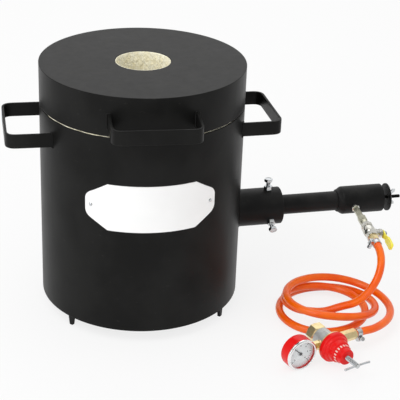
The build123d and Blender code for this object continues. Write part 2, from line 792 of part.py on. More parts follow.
# Hose clamps, one on each end of the hose, each with its screw across the hose
clamp_low = reg_dir * 0.45 - Vector(0, 0, 1) * 0.893
clamp_frames = (
    Plane(origin=gas_root + gas_dir * (HOSE_FROM + 1.5), x_dir=stem_dir * -1, z_dir=gas_dir),
    Plane(origin=port_root + port_dir * (OUTLET_END + 1.5 + CLAMP_W), x_dir=clamp_low, z_dir=port_dir * -1),
)
CLAMP_SCREW_AT = HOSE_R + CLAMP_BOX_H / 2 + 0.4


def clamp_cross(frame: Plane, along: float) -> Plane:
    """Plane square to a clamp's screw, at a distance from the middle of its box."""
    middle = frame.origin + frame.x_dir * CLAMP_SCREW_AT + frame.z_dir * CLAMP_W / 2
    return Plane(origin=middle + frame.y_dir * along, x_dir=frame.z_dir, z_dir=frame.y_dir)


with BuildPart() as clamp_bands:
    for frame in clamp_frames:
        with BuildSketch(frame):
            Circle(HOSE_R + 0.9)
            with Locations((CLAMP_SCREW_AT, 0)):
                Rectangle(CLAMP_BOX_H, CLAMP_BOX_L)
            Circle(HOSE_R + 0.02, mode=Mode.SUBTRACT)
        extrude(amount=CLAMP_W)
        with BuildSketch(clamp_cross(frame, -CLAMP_BOX_L)):
            Circle(CLAMP_SCREW_R + RUN_CLEARANCE)
        extrude(amount=2 * CLAMP_BOX_L, mode=Mode.SUBTRACT)

with BuildPart() as clamp_screws:
    for frame in clamp_frames:
        with BuildSketch(clamp_cross(frame, -CLAMP_BOX_L / 2 - 2)):
            Circle(CLAMP_SCREW_R)
        extrude(amount=CLAMP_BOX_L + 3)
        with BuildSketch(clamp_cross(frame, CLAMP_BOX_L / 2 + 0.3)):
            RegularPolygon(CLAMP_HEX / 2, 6, major_radius=False)
        extrude(amount=4.5)

# Regulator
with BuildPart() as regulator_body:
    with BuildSketch(reg_plane):
        with BuildLine():
            Polyline(
                (BODY_BACK, 0),
                (BODY_BACK, 13),
                (FLANGE_FACE - 4, 13),
                (FLANGE_FACE - 2, 17),
                (FLANGE_FACE - 2, 24),
                (FLANGE_FACE, 24),
                (FLANGE_FACE, 0),
                close=True,
            )
        make_face()
    revolve(axis=reg_axis)
    with BuildSketch(port_cross(-17)):
        Circle(7.5)
    extrude(amount=34)
    with BuildSketch(reg_cross(BODY_BACK - 1)):
        Circle(3)
    extrude(amount=9 - BODY_BACK + 1, mode=Mode.SUBTRACT)
    with BuildSketch(port_cross(-20)):
        Circle(3)
    extrude(amount=40, mode=Mode.SUBTRACT)
    with BuildSketch(reg_cross(FLANGE_FACE - 0.8)):
        Circle(20)
    extrude(amount=10, mode=Mode.SUBTRACT)

with BuildPart() as body_collar:
    with BuildSketch(reg_cross(BODY_BACK)):
        Circle(COLLAR_R)
        Circle(13.02, mode=Mode.SUBTRACT)
    extrude(amount=COLLAR_L)
    with BuildSketch(port_cross(-20)):
        Circle(7.5 + 0.02)
    extrude(amount=40, mode=Mode.SUBTRACT)

with BuildPart() as inlet_nipple:
    with BuildSketch(reg_plane):
        with BuildLine():
            Polyline(
                (BODY_BACK - 7, GAS_BORE_R),
                (BODY_BACK - 7, 6),
                (BODY_BACK - 6, 8.5),
                (BODY_BACK - 4, 8.5),
                (BODY_BACK - 4, 6.5),
                (BODY_BACK, 6.5),
                (BODY_BACK, GAS_BORE_R),
                close=True,
            )
        make_face()
    revolve(axis=reg_axis)

with BuildPart() as inlet_nut:
    with BuildSketch(reg_cross(NUT_MOUTH)):
        RegularPolygon(15, 6, major_radius=False)
    extrude(amount=17.6)
    with BuildSketch(reg_cross(NUT_MOUTH)):
        Circle(THREAD_R)
    extrude(amount=THREAD_L, mode=Mode.SUBTRACT)
    with BuildSketch(reg_cross(NUT_MOUTH + THREAD_L)):
        Circle(THREAD_R + 1)
    extrude(amount=3.8, mode=Mode.SUBTRACT)
    with BuildSketch(reg_cross(NUT_MOUTH - 1)):
        Circle(6.5 + RUN_CLEARANCE)
    extrude(amount=20, mode=Mode.SUBTRACT)

with BuildPart() as diaphragm:
    with BuildSketch(reg_cross(FLANGE_FACE)):
        Circle(23.5)
    extrude(amount=DIAPHRAGM_T)

BONNET_AT = FLANGE_FACE + DIAPHRAGM_T
SEAT_AT = 28.4
SEAT_T = 3.0
SPRING_L = 11.2
TEE_AT = 76.0

with BuildPart() as bonnet:
    with BuildSketch(reg_plane):
        with BuildLine():
            Polyline(
                (BONNET_AT, 15),
                (BONNET_AT, 25),
                (19, 25),
                (20.5, 23.5),
                (21, 22),
                (25, 20.5),
                (26, 18.5),
                (34.5, 17.8),
                (35.5, 15.2),
                (42, 14.6),
                (42.6, 13.4),
                (51.5, 12.8),
                (51.5, SCREW_R + RUN_CLEARANCE),
                (46, SCREW_R + RUN_CLEARANCE),
                (44, 9.5),
                (33.5, 11.5),
                (32, 15),
                close=True,
            )
        make_face()
    revolve(axis=reg_axis)

with BuildPart() as regulator_spring:
    with BuildSketch(reg_cross(BONNET_AT + 0.4)):
        Circle(10)
        Circle(7.6, mode=Mode.SUBTRACT)
    extrude(amount=SPRING_L)

with BuildPart() as spring_seat:
    with BuildSketch(reg_cross(SEAT_AT)):
        Circle(14.4)
    extrude(amount=SEAT_T)

with BuildPart() as adjusting_screw:
    with BuildSketch(reg_cross(SEAT_AT + SEAT_T + 0.4)):
        Circle(SCREW_R)
    extrude(amount=TEE_AT - SEAT_AT - SEAT_T + 3.4)
    with BuildSketch(Plane(origin=reg_root + reg_dir * TEE_AT - port_dir * 10, z_dir=port_dir)):
        Circle(1.9)
    extrude(amount=20, mode=Mode.SUBTRACT)

TEE_HALF = 25.0

with BuildPart() as tee_bar:
    with BuildSketch(Plane(origin=reg_root + reg_dir * TEE_AT - port_dir * TEE_HALF, z_dir=port_dir)):
        Circle(1.9)
    extrude(amount=2 * TEE_HALF)
    fillet(tee_bar.edges().filter_by(GeomType.CIRCLE), 0.8)

with BuildPart() as outlet_barb:
    with BuildSketch(port_cross(17)):
        RegularPolygon(8, 6, major_radius=False)
    extrude(amount=OUTLET_END - 0.6 - 17)
    with BuildSketch(port_cross(OUTLET_END - 1)):
        Circle(BARB_R)
    extrude(amount=12)
    with BuildSketch(port_cross(16)):
        Circle(GAS_BORE_R)
    extrude(amount=60, mode=Mode.SUBTRACT)

# Gauge
with BuildPart() as gauge_stem:
    with BuildSketch(port_cross(-17)):
        RegularPolygon(6.5, 6, major_radius=False)
    extrude(amount=17 - GAUGE_AT + GAUGE_R - 4)
    with BuildSketch(gauge_cross(-12)):
        Circle(GAUGE_R)
    extrude(amount=24, mode=Mode.SUBTRACT)
    with BuildSketch(port_cross(-16)):
        Circle(GAS_BORE_R)
    extrude(amount=-30, mode=Mode.SUBTRACT)

with BuildPart() as gauge_case:
    with BuildSketch(gauge_plane):
        with BuildLine():
            Polyline(
                (GAUGE_BACK, 0),
                (GAUGE_BACK, GAUGE_R - 2),
                (GAUGE_BACK + 2, GAUGE_R),
                (11, GAUGE_R),
                (11, GAUGE_R - 1.6),
                (GAUGE_BACK + 2, GAUGE_R - 1.6),
                (GAUGE_BACK + 1.6, GAUGE_R - 3),
                (GAUGE_BACK + 1.6, 0),
                close=True,
            )
        make_face()
    revolve(axis=gauge_axis)

with BuildPart() as gauge_bezel:
    with BuildSketch(gauge_plane):
        with BuildLine():
            Polyline(
                (11, GAUGE_R - 1.6),
                (11, GAUGE_R),
                (13.5, GAUGE_R),
                (15, GAUGE_R - 1.4),
                (15, GAUGE_R - 3.6),
                (13.4, GAUGE_R - 3.6),
                (13.4, GAUGE_R - 1.6),
                close=True,
            )
        make_face()
    revolve(axis=gauge_axis)

with BuildPart() as gauge_lens:
    with BuildSketch(gauge_cross(11.6)):
        Circle(GAUGE_R - 1.7)
    extrude(amount=1.7)

with BuildPart() as gauge_dial:
    with BuildSketch(gauge_cross(6)):
        Circle(GAUGE_R - 1.7)
    extrude(amount=0.8)

NEEDLE_TILT = 135.0

with BuildPart() as gauge_needle:
    with BuildSketch(gauge_cross(8.2)):
        Circle(2.6)
        with Locations(Rotation(0, 0, NEEDLE_TILT)):
            with Locations((7, 0)):
                Rectangle(22, 1.1)
    extrude(amount=0.7)
    with BuildSketch(gauge_cross(7.2)):
        Circle(1.2)
    extrude(amount=1)

# Hand over every piece
PIECES = {
    "body_shell": body_shell,
    "base_plate": base_plate,
    "feet": feet,
    "floor_insulation": floor_insulation,
    "body_wool": body_wool,
    "hot_face_coating": hot_face_coating,
    "refractory_floor": refractory_floor,
    "body_handle_left": body_handle_left,
    "body_handle_right": body_handle_right,
    "nameplate": nameplate,
    "nameplate_rivets": nameplate_rivets,
    "lid_band": lid_band,
    "lid_top_plate": lid_top_plate,
    "lid_wool": lid_wool,
    "lid_handle_front": lid_handle_front,
    "lid_handle_rear": lid_handle_rear,
    "burner_holder": burner_holder,
    "holder_nuts": holder_nuts,
    "holder_screw_1": holder_screw_1,
    "holder_screw_2": holder_screw_2,
    "holder_screw_3": holder_screw_3,
    "mixing_tube": mixing_tube,
    "flame_flare": flame_flare,
    "burner_bell": burner_bell,
    "choke_rod": choke_rod,
    "choke_plate": choke_plate,
    "choke_wing_nut": choke_wing_nut,
    "jet_tube": jet_tube,
    "jet_lock_nut": jet_lock_nut,
    "jet_holder": jet_holder,
    "reducing_nipple": reducing_nipple,
    "valve_body": valve_body,
    "valve_ball": valve_ball,
    "valve_stem": valve_stem,
    "valve_gland_nut": valve_gland_nut,
    "valve_lever": valve_lever,
    "lever_nut": lever_nut,
    "hose_barb": hose_barb,
    "hose_lead": hose_lead,
    "hose_coil": hose_coil,
    "clamp_bands": clamp_bands,
    "clamp_screws": clamp_screws,
    "regulator_body": regulator_body,
    "body_collar": body_collar,
    "inlet_nipple": inlet_nipple,
    "inlet_nut": inlet_nut,
    "diaphragm": diaphragm,
    "bonnet": bonnet,
    "regulator_spring": regulator_spring,
    "spring_seat": spring_seat,
    "adjusting_screw": adjusting_screw,
    "tee_bar": tee_bar,
    "outlet_barb": outlet_barb,
    "gauge_stem": gauge_stem,
    "gauge_case": gauge_case,
    "gauge_bezel": gauge_bezel,
    "gauge_lens": gauge_lens,
    "gauge_dial": gauge_dial,
    "gauge_needle": gauge_needle,
}
for name, piece in PIECES.items():
    piece.part.label = name
    export_step(piece.part, f"parts/{name}.step")
print("pieces", len(PIECES))
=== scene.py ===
import logging
from dataclasses import dataclass
from enum import Enum
from math import cos, pi, radians, sin, tau
from typing import ClassVar, Sequence

import bmesh
import bpy
import numpy as np
from mathutils import Matrix, Vector


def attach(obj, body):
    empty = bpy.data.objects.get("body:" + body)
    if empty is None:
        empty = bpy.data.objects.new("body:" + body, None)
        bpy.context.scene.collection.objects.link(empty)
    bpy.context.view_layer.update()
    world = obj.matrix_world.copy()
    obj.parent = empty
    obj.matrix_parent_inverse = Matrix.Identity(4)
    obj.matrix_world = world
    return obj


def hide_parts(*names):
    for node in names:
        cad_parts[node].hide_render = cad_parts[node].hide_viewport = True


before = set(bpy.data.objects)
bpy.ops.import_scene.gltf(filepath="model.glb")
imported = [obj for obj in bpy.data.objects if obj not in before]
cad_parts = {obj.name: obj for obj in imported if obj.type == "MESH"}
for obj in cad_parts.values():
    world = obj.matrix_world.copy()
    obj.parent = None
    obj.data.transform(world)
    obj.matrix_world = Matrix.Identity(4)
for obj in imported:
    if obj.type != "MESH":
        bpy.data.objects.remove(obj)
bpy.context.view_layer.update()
LOG = logging.getLogger("furnace")
MM = 0.001
# The least angle that shows as an edge, and sizes in millimetres that several pieces share
SHARP_DEGREES = 38.0
DRUM_RADIUS, WALL = 165.0, 3.0
# Steps round a rounded corner, and how far beyond its radius the held flats begin
CORNER_STEPS, FLAT_REACH = 3, 1.15
# A hexagon's radius at its end faces and at its corners as shares of its flats, and its chamfer's rise
HEX_TIP, HEX_RIM, HEX_SLOPE = 0.49, 0.5774, 0.58
# A thread's depth as a share of its pitch, how much its ends shrink, and its points round
THREAD_DEPTH, THREAD_TAPER, THREAD_AROUND = 0.6, 0.12, 24
Array = np.ndarray
Thing = bpy.types.Object
Socket = bpy.types.NodeSocket


class Body(Enum):
    """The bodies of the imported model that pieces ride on."""

    FURNACE = "furnace"
    LID = "lid"
    SCREW_TOP = "clamp_screw_top"
    SCREW_FRONT = "clamp_screw_front"
    SCREW_BACK = "clamp_screw_back"
    CHOKE = "choke"
    LEVER = "lever"
    TEE = "tee_screw"
    SWIVEL = "swivel_nut"


def unit(way: Sequence[float]) -> Array:
    """A direction of length one."""
    way = np.asarray(way, float)
    return way / np.linalg.norm(way)


@dataclass(frozen=True)
class Spot:
    """A place in millimetres and three square directions there."""

    origin: Array
    across: Array
    up: Array
    along: Array

    @staticmethod
    def aimed(origin: Sequence[float], along: Sequence[float], across: Sequence[float]) -> "Spot":
        """A spot that looks along one way, with another as near as can be to its across.

        Args:
            origin: the place.
            along: the way that it looks.
            across: roughly its second way.

        Returns:
            The spot, whose up is along x across.
        """
        way = unit(along)
        aside = unit(np.asarray(across, float) - way * np.dot(across, way))
        return Spot(np.asarray(origin, float), aside, np.cross(way, aside), way)

    def at(self, across: Array, up: Array, along: Array) -> Array:
        """Points from three arrays of local distances."""
        parts = zip(np.broadcast_arrays(across, up, along), (self.across, self.up, self.along))
        return self.origin + sum(size[..., None] * way for size, way in parts)

    def polar(self, radius: Array, angle: Array, along: Array) -> Array:
        """Points from radii, angles in radians and distances along."""
        return self.at(radius * np.cos(angle), radius * np.sin(angle), along)


def heading(degrees: float) -> Array:
    """A level direction at an angle from the right."""
    return np.array((cos(radians(degrees)), sin(radians(degrees)), 0.0))


# The burner's, gas line's and regulator's places and directions, as in the part's source
UPWARD = np.array((0.0, 0.0, 1.0))
BURNER_HEIGHT, JET_AT, VALVE_AT, HOSE_AT, GAUGE_AT = 146.0, 372.0, 100.0, 130.0, 58.0
GAS_DIP, STEM_ROLL = radians(7), radians(15)
BURNER_DIR = heading(5)
BURNER_SIDE = np.array((BURNER_DIR[1], -BURNER_DIR[0], 0.0))
GAS_DIR = BURNER_SIDE * cos(GAS_DIP) - UPWARD * sin(GAS_DIP)
STEM_DIR = BURNER_DIR * cos(STEM_ROLL) - np.cross(GAS_DIR, BURNER_DIR) * sin(STEM_ROLL)
REG_DIR = heading(-67.4)
PORT_DIR = np.array((-REG_DIR[1], REG_DIR[0], 0.0))
REG_FROM_JET = (-95.1, -266.6, 27)
BURNER_SPOT = Spot.aimed(UPWARD * BURNER_HEIGHT, BURNER_DIR, BURNER_SIDE)
GAS_FOOT = BURNER_DIR * JET_AT
GAS_SPOT = Spot.aimed(GAS_FOOT + UPWARD * BURNER_HEIGHT, GAS_DIR, STEM_DIR)
HOSE_EXIT = GAS_SPOT.origin + GAS_DIR * HOSE_AT
STEM_SPOT = Spot.aimed(GAS_SPOT.origin + GAS_DIR * VALVE_AT, STEM_DIR, GAS_DIR)
REG_SPOT = Spot.aimed(GAS_FOOT + REG_FROM_JET, REG_DIR, PORT_DIR)
PORT_SPOT = Spot.aimed(REG_SPOT.origin - REG_DIR, PORT_DIR, REG_DIR)
GAUGE_SPOT = Spot.aimed(PORT_SPOT.origin - PORT_DIR * GAUGE_AT, REG_DIR, PORT_DIR)
DRUM_SPOT = Spot.aimed((0, 0, 0), UPWARD, (1, 0, 0))


class Number:
    """A number socket that works with plain Python operators."""

    def __init__(self, tree: "Tree", socket: Socket) -> None:
        """Keep the tree and the socket."""
        self.tree, self.socket = tree, socket

    def _worked(self, operation: str, first: object, second: object) -> "Number":
        """The result of one Math node."""
        return self.tree.number("ShaderNodeMath", {"operation": operation}, {0: first, 1: second})

    def __add__(self, other: object) -> "Number":
        """Sum."""
        return self._worked("ADD", self, other)

    def __sub__(self, other: object) -> "Number":
        """Difference."""
        return self._worked("SUBTRACT", self, other)

    def __rsub__(self, other: object) -> "Number":
        """Difference, from a plain number."""
        return self._worked("SUBTRACT", other, self)

    def __mul__(self, other: object) -> "Number":
        """Product."""
        return self._worked("MULTIPLY", self, other)

    __radd__ = __add__
    __rmul__ = __mul__


class Tree:
    """The nodes of one material or of the world."""

    def __init__(self, owner: object) -> None:
        """Empty the owner's nodes.

        Args:
            owner: the material or the world.
        """
        owner.use_nodes = True
        self.graph = owner.node_tree
        self.graph.nodes.clear()

    def add(self, kind: str, settings: dict | None = None, sockets: dict | None = None) -> bpy.types.Node:
        """One node.

        Args:
            kind: the node's type.
            settings: its own settings, set first.
            sockets: values or links for its sockets.

        Returns:
            The node.
        """
        node = self.graph.nodes.new(kind)
        for key, value in (settings or {}).items():
            setattr(node, key, value)
        for key, value in (sockets or {}).items():
            value = value.socket if isinstance(value, Number) else value
            if isinstance(value, Socket):
                self.graph.links.new(value, node.inputs[key])
            elif node.inputs[key].type == "RGBA":
                node.inputs[key].default_value = (*value[:3], 1.0)
            else:
                node.inputs[key].default_value = value
        return node

    def seat(self, stretch: Sequence[float] = (1, 1, 1), turn: Sequence[float] = (0, 0, 0)) -> Socket:
        """The place on the object, stretched and turned."""
        sockets = {"Vector": self.add("ShaderNodeTexCoord").outputs["Object"], "Rotation": turn, "Scale": stretch}
        return self.add("ShaderNodeMapping", {}, sockets).outputs[0]

    def number(self, kind: str, settings: dict, sockets: dict, output: int | str = 0) -> Number:
        """One node's output as a number."""
        return Number(self, self.add(kind, settings, sockets).outputs[output])

    def noise(self, size: float, detail: float = 3.0, rough: float = 0.5, **seat: Sequence[float]) -> Number:
        """Noise whose features are about size metres across."""
        sockets = {"Vector": self.seat(**seat), "Scale": 1 / size, "Detail": detail, "Roughness": rough}
        return self.number("ShaderNodeTexNoise", {}, sockets)

    def cells(self, size: float) -> Number:
        """Distance to the middle of the nearest cell, of about size metres."""
        return self.number("ShaderNodeTexVoronoi", {}, {"Vector": self.seat(), "Scale": 1 / size}, "Distance")

    def upward(self) -> Number:
        """How far the surface faces upward, from 0 to 1."""
        normal = {0: self.add("ShaderNodeTexCoord").outputs["Normal"]}
        return self.between(self.number("ShaderNodeSeparateXYZ", {}, normal, 2), 0.2, 1.0)

    def between(self, value: Number, low: float, high: float, first: float = 0.0, last: float = 1.0) -> Number:
        """A smooth step from first to last as the value goes from low to high."""
        sockets = {"Value": value, "From Min": low, "From Max": high, "To Min": first, "To Max": last}
        return self.number("ShaderNodeMapRange", {"interpolation_type": "SMOOTHSTEP"}, sockets)

    def tint(self, share: object, first: object, second: object) -> Socket:
        """A colour between two, by share."""
        return self.add("ShaderNodeMix", {"data_type": "RGBA"}, {0: share, 6: first, 7: second}).outputs[2]

    def relief(self, height: Number, depth: float, under: Socket | None = None) -> Socket:
        """A normal bent by a height.

        Args:
            height: the height, about 0 to 1.
            depth: how deep that is, in metres.
            under: a normal that it lies over.

        Returns:
            The normal's socket.
        """
        below = {} if under is None else {"Normal": under}
        sockets = {"Height": height, "Distance": depth, "Strength": 1.0, **below}
        return self.add("ShaderNodeBump", {}, sockets).outputs[0]

    def shade(self, sockets: dict) -> None:
        """End in a Principled shader with these sockets."""
        shader = self.add("ShaderNodeBsdfPrincipled", {}, sockets)
        self.add("ShaderNodeOutputMaterial", {}, {"Surface": shader.outputs[0]})


@dataclass(frozen=True)
class Finish:
    """What all finishes share: a name, the record's slot, and a material that is made once."""

    name: str
    slot: str
    made: ClassVar[dict] = {}

    def material(self) -> bpy.types.Material:
        """The finish's material, made at its first use.

        Returns:
            The material.
        """
        if self.name not in Finish.made:
            Finish.made[self.name] = bpy.data.materials.new(self.name)
            self.paint(Tree(Finish.made[self.name]))
        return Finish.made[self.name]

    def paint(self, tree: Tree) -> None:
        """Fill the tree; each kind of finish has its own."""
        raise NotImplementedError


@dataclass(frozen=True)
class Paint(Finish):
    """Sprayed or powder paint: cloudy colour, orange peel, dust on what faces up, and scuffs."""

    colour: tuple = (0.02, 0.02, 0.02)
    pale: tuple = (0.03, 0.03, 0.03)
    dust_colour: tuple = (0.22, 0.21, 0.19)
    dust: float = 0.12
    rough: float = 0.4
    spread: float = 0.12
    peel: float = 0.0014
    depth: float = 0.00004
    coat: float = 0.0
    gloss: float = 0.5
    scuff_share: float = 0.05
    scuff_depth: float = 0.00002

    def paint(self, tree: Tree) -> None:
        """Two noises mix the colours, a stretched one makes scuffs, and a fine one the peel.

        Args:
            tree: the material's nodes.
        """
        cloud = tree.noise(0.07, 4.0)
        wipe = tree.noise(0.012, 4.0, 0.6, stretch=(1.0, 1.0, 0.22))
        strokes = tree.noise(0.005, 3.0, 0.6, stretch=(0.18, 1.0, 1.0), turn=(0.4, 0.3, 0.9))
        scuff = tree.between(strokes, 0.66, 0.74)
        dust = tree.upward() * tree.between(tree.noise(0.03, 6.0, 0.62), 0.38, 0.72) * self.dust
        colour = tree.tint(tree.between(cloud, 0.35, 0.68), self.colour, self.pale)
        colour = tree.tint(dust + scuff * self.scuff_share, colour, self.dust_colour)
        rough = (cloud - 0.5) * self.spread + (wipe - 0.5) * self.spread + dust * 0.8 + self.rough
        scuffed = tree.relief(scuff, self.scuff_depth)
        normal = tree.relief(tree.noise(self.peel, 2.0), self.depth, scuffed)
        tree.shade({"Base Color": colour, "Roughness": rough, "Normal": normal, "Coat Weight": self.coat,
                    "Coat Roughness": 0.08, "Specular IOR Level": self.gloss})


@dataclass(frozen=True)
class Metal(Finish):
    """Bare or plated metal: stained patches, tool marks and fine scratches."""

    colour: tuple = (0.7, 0.7, 0.7)
    stain: tuple = (0.5, 0.5, 0.5)
    rough: float = 0.28
    spread: float = 0.2
    grain: float = 0.0007
    depth: float = 0.00002

    def paint(self, tree: Tree) -> None:
        """A cloudy noise stains colour and roughness, and a stretched one and cells make the marks.

        Args:
            tree: the material's nodes.
        """
        cloud = tree.noise(0.008, 5.0, 0.6)
        marks = tree.noise(self.grain, 2.0, 0.5, stretch=(1.0, 0.12, 1.0), turn=(0.3, 0.0, 0.7))
        nicks = tree.between(tree.cells(0.003), 0.0, 0.22, 1.0, 0.0)
        colour = tree.tint(tree.between(cloud, 0.42, 0.72), self.colour, self.stain)
        rough = (cloud - 0.5) * self.spread + (marks - 0.5) * self.spread * 0.6 + nicks * 0.08 + self.rough
        normal = tree.relief(marks, self.depth, tree.relief(nicks, self.depth))
        tree.shade({"Base Color": colour, "Metallic": 1.0, "Roughness": rough, "Normal": normal})


@dataclass(frozen=True)
class Wool(Finish):
    """Ceramic fibre blanket: matted threads in three directions with shot grains."""

    colour: tuple = (0.97, 0.94, 0.78)
    # Painted shade: the darker colour laid in the hollows between the threads, mixed with uneven tone
    hollow_shade_colour: tuple = (0.9, 0.84, 0.62)

    def paint(self, tree: Tree) -> None:
        """Three thin stretched noises are summed as threads; a cloud and grains tint them.

        Args:
            tree: the material's nodes.
        """
        first = tree.noise(0.0016, 3.0, 0.6, stretch=(0.16, 1.0, 1.0), turn=(0.2, 0.5, 0.3))
        second = tree.noise(0.0016, 3.0, 0.6, stretch=(1.0, 0.16, 1.0), turn=(0.7, 0.1, 0.9))
        third = tree.noise(0.002, 3.0, 0.6, stretch=(1.0, 1.0, 0.16), turn=(0.4, 0.9, 0.1))
        threads = (first + second + third) * (1 / 3)
        cloud = tree.noise(0.009, 4.0, 0.6)
        grains = tree.between(tree.cells(0.0035), 0.0, 0.16, 1.0, 0.0)
        # Painted shade and uneven tone: low threads and cloud, which the bump also sinks, take the darker colour
        colour = tree.tint(tree.between(threads + cloud, 0.82, 1.16), self.hollow_shade_colour, self.colour)
        colour = tree.tint(grains * 0.35, colour, (0.66, 0.52, 0.36))
        normal = tree.relief(threads, 0.0005, tree.relief(cloud, 0.0006))
        tree.shade({"Base Color": colour, "Roughness": 0.96, "Normal": normal, "Specular IOR Level": 0.2})


@dataclass(frozen=True)
class Cement(Finish):
    """Trowelled refractory coat: grains, trowel waves and heat-stained patches."""

    colour: tuple = (0.6, 0.53, 0.43)
    burnt: tuple = (0.34, 0.27, 0.22)

    def paint(self, tree: Tree) -> None:
        """Clouds of stain, grain cells, and hairline cracks where a noise is near its middle value.

        Args:
            tree: the material's nodes.
        """
        cloud, trowel = tree.noise(0.05, 5.0, 0.62), tree.noise(0.02, 3.0, 0.5, stretch=(1.0, 1.0, 0.35))
        grain = tree.between(tree.cells(0.0028), 0.1, 0.5)
        lines = tree.noise(0.03, 6.0, 0.7)
        crack = tree.between(lines, 0.494, 0.5) * tree.between(lines, 0.506, 0.5)
        colour = tree.tint(tree.between(cloud, 0.4, 0.72), self.colour, self.burnt)
        colour = tree.tint(crack * 0.7, tree.tint(grain * 0.3, (0.72, 0.66, 0.56), colour), (0.12, 0.1, 0.09))
        normal = tree.relief(grain + trowel * 2.0 - crack, 0.0007)
        tree.shade({"Base Color": colour, "Roughness": 0.9 + cloud * 0.08, "Normal": normal})


@dataclass(frozen=True)
class Rubber(Finish):
    """Smooth extruded hose or moulded rubber: drawn-out waves, dust specks and rub marks."""

    colour: tuple = (0.95, 0.15, 0.001)
    deep: tuple = (0.9, 0.1, 0.0005)
    rough: float = 0.28
    coat: float = 0.12

    def paint(self, tree: Tree) -> None:
        """A cloud deepens the colour, a mid noise rubs the gloss and a fine one leaves specks.

        Args:
            tree: the material's nodes.
        """
        cloud, rub = tree.noise(0.035, 3.0), tree.noise(0.007, 5.0, 0.62)
        specks = tree.between(tree.cells(0.004), 0.0, 0.1, 1.0, 0.0)
        colour = tree.tint(tree.between(cloud, 0.35, 0.7), self.colour, self.deep)
        colour = tree.tint(specks * 0.12, colour, (0.85, 0.6, 0.4))
        rough = self.rough + tree.between(rub, 0.45, 0.75) * 0.16 + specks * 0.15
        normal = tree.relief(tree.noise(0.0012, 2.0), 0.00003, tree.relief(rub, 0.00008))
        tree.shade({"Base Color": colour, "Roughness": rough, "Normal": normal,
                    "Coat Weight": self.coat, "Coat Roughness": 0.1, "Specular IOR Level": 0.35})


@dataclass(frozen=True)
class Glass(Finish):
    """The gauge's window."""

    def paint(self, tree: Tree) -> None:
        """Clear glass with faint smears in its roughness.

        Args:
            tree: the material's nodes.
        """
        smear = tree.between(tree.noise(0.006, 4.0, 0.6, stretch=(1.0, 0.4, 1.0)), 0.4, 0.8)
        tree.shade({"Base Color": (0.96, 0.98, 0.98), "Roughness": smear * 0.05 + 0.015,
                    "Transmission Weight": 1.0, "IOR": 1.3})


SATIN_BLACK = Paint("satin_black", "black_enamel", (0.0075, 0.0075, 0.0072), (0.012, 0.012, 0.0115),
                    rough=0.38, dust=0.03, gloss=0.09)
BURNER_BLACK = Paint("burner_black", "black_burner", (0.006, 0.006, 0.006), (0.011, 0.011, 0.011),
                     rough=0.42, dust=0.05, depth=0.00007, gloss=0.14)
PLATE_WHITE = Paint("plate_white", "plate_white", (0.93, 0.93, 0.925), (0.95, 0.95, 0.945),
                    (0.8, 0.79, 0.76), dust=0.06, rough=0.3, spread=0.08, coat=0.3)
DIAL_WHITE = Paint("dial_white", "dial_white", (0.92, 0.94, 0.95), (0.95, 0.96, 0.97), (0.8, 0.8, 0.78),
                   dust=0.05, rough=0.5, depth=0.00001)
MARK_BLACK = Paint("mark_black", "needle_black", (0.02, 0.02, 0.022), (0.03, 0.03, 0.03), dust=0.02, rough=0.5)
GLOSS_RED = Paint("gloss_red", "red_paint", (0.76, 0.004, 0.004), (0.82, 0.007, 0.006), (0.75, 0.15, 0.13),
                  dust=0.02, rough=0.32, spread=0.1, depth=0.00006, coat=0.06, gloss=0.25)
PALE_RIB = Paint("pale_rib", "red_paint", (0.82, 0.66, 0.6), (0.86, 0.5, 0.44), rough=0.4)
LEVER_YELLOW = Paint("lever_yellow", "yellow_lever", (0.94, 0.84, 0.07), (0.95, 0.88, 0.12), (0.8, 0.7, 0.4),
                     dust=0.08, rough=0.36, coat=0.2)
ZINC = Metal("zinc", "zinc", (0.62, 0.64, 0.66), (0.5, 0.51, 0.49), 0.22)
BRASS = Metal("brass", "brass", (0.92, 0.76, 0.42), (0.8, 0.6, 0.3), 0.34)
PALE_BRASS = Metal("pale_brass", "brass", (0.6, 0.59, 0.47), (0.46, 0.45, 0.34), 0.36)
LOCK_NUT = Metal("lock_nut_plate", "brass", (0.8, 0.79, 0.74), (0.66, 0.64, 0.56), 0.24)
NICKEL = Metal("nickel", "nickel", (0.66, 0.65, 0.6), (0.5, 0.48, 0.41), 0.22)
COLLAR_GREY = Metal("collar_grey", "nickel", (0.66, 0.67, 0.65), (0.54, 0.55, 0.53), 0.42)
CHROME = Metal("chrome", "chrome", (0.9, 0.9, 0.9), (0.82, 0.82, 0.82), 0.2, 0.08, depth=0.000006)
WOOL = Wool("ceramic_wool", "ceramic_wool")
CEMENT = Cement("refractory_cement", "refractory")
ORANGE = Rubber("orange_rubber", "orange_hose")
BLACK_RUBBER = Rubber("black_rubber", "rubber_black", (0.02, 0.02, 0.02), (0.012, 0.012, 0.012), 0.6, 0.0)
GLASS = Glass("gauge_glass", "clear")


def linked(name: str, data: object) -> Thing:
    """A new object in the scene.

    Args:
        name: the object's name.
        data: its mesh, curve, lamp or camera.

    Returns:
        The object.
    """
    item = bpy.data.objects.new(name, data)
    bpy.context.scene.collection.objects.link(item)
    return item


def filled(name: str, mesh: bpy.types.Mesh, solid: bmesh.types.BMesh) -> Thing:
    """An object whose mesh comes from a solid: smooth, with its steep edges left sharp.

    Args:
        name: the object's name.
        mesh: the mesh to fill.
        solid: what it is filled from, freed afterwards.

    Returns:
        The object.
    """
    solid.to_mesh(mesh)
    solid.free()
    mesh.shade_smooth()
    mesh.set_sharp_from_angle(angle=radians(SHARP_DEGREES))
    return linked(name, mesh)


def settle(name: str, mesh: bpy.types.Mesh) -> Thing:
    """An object from a mesh, with doubles merged and its faces turned outward.

    Args:
        name: the object's name.
        mesh: its mesh, in metres.

    Returns:
        The object.
    """
    solid = bmesh.new()
    solid.from_mesh(mesh)
    bmesh.ops.remove_doubles(solid, verts=solid.verts, dist=1e-6)
    bmesh.ops.recalc_face_normals(solid, faces=solid.faces)
    return filled(name, mesh, solid)


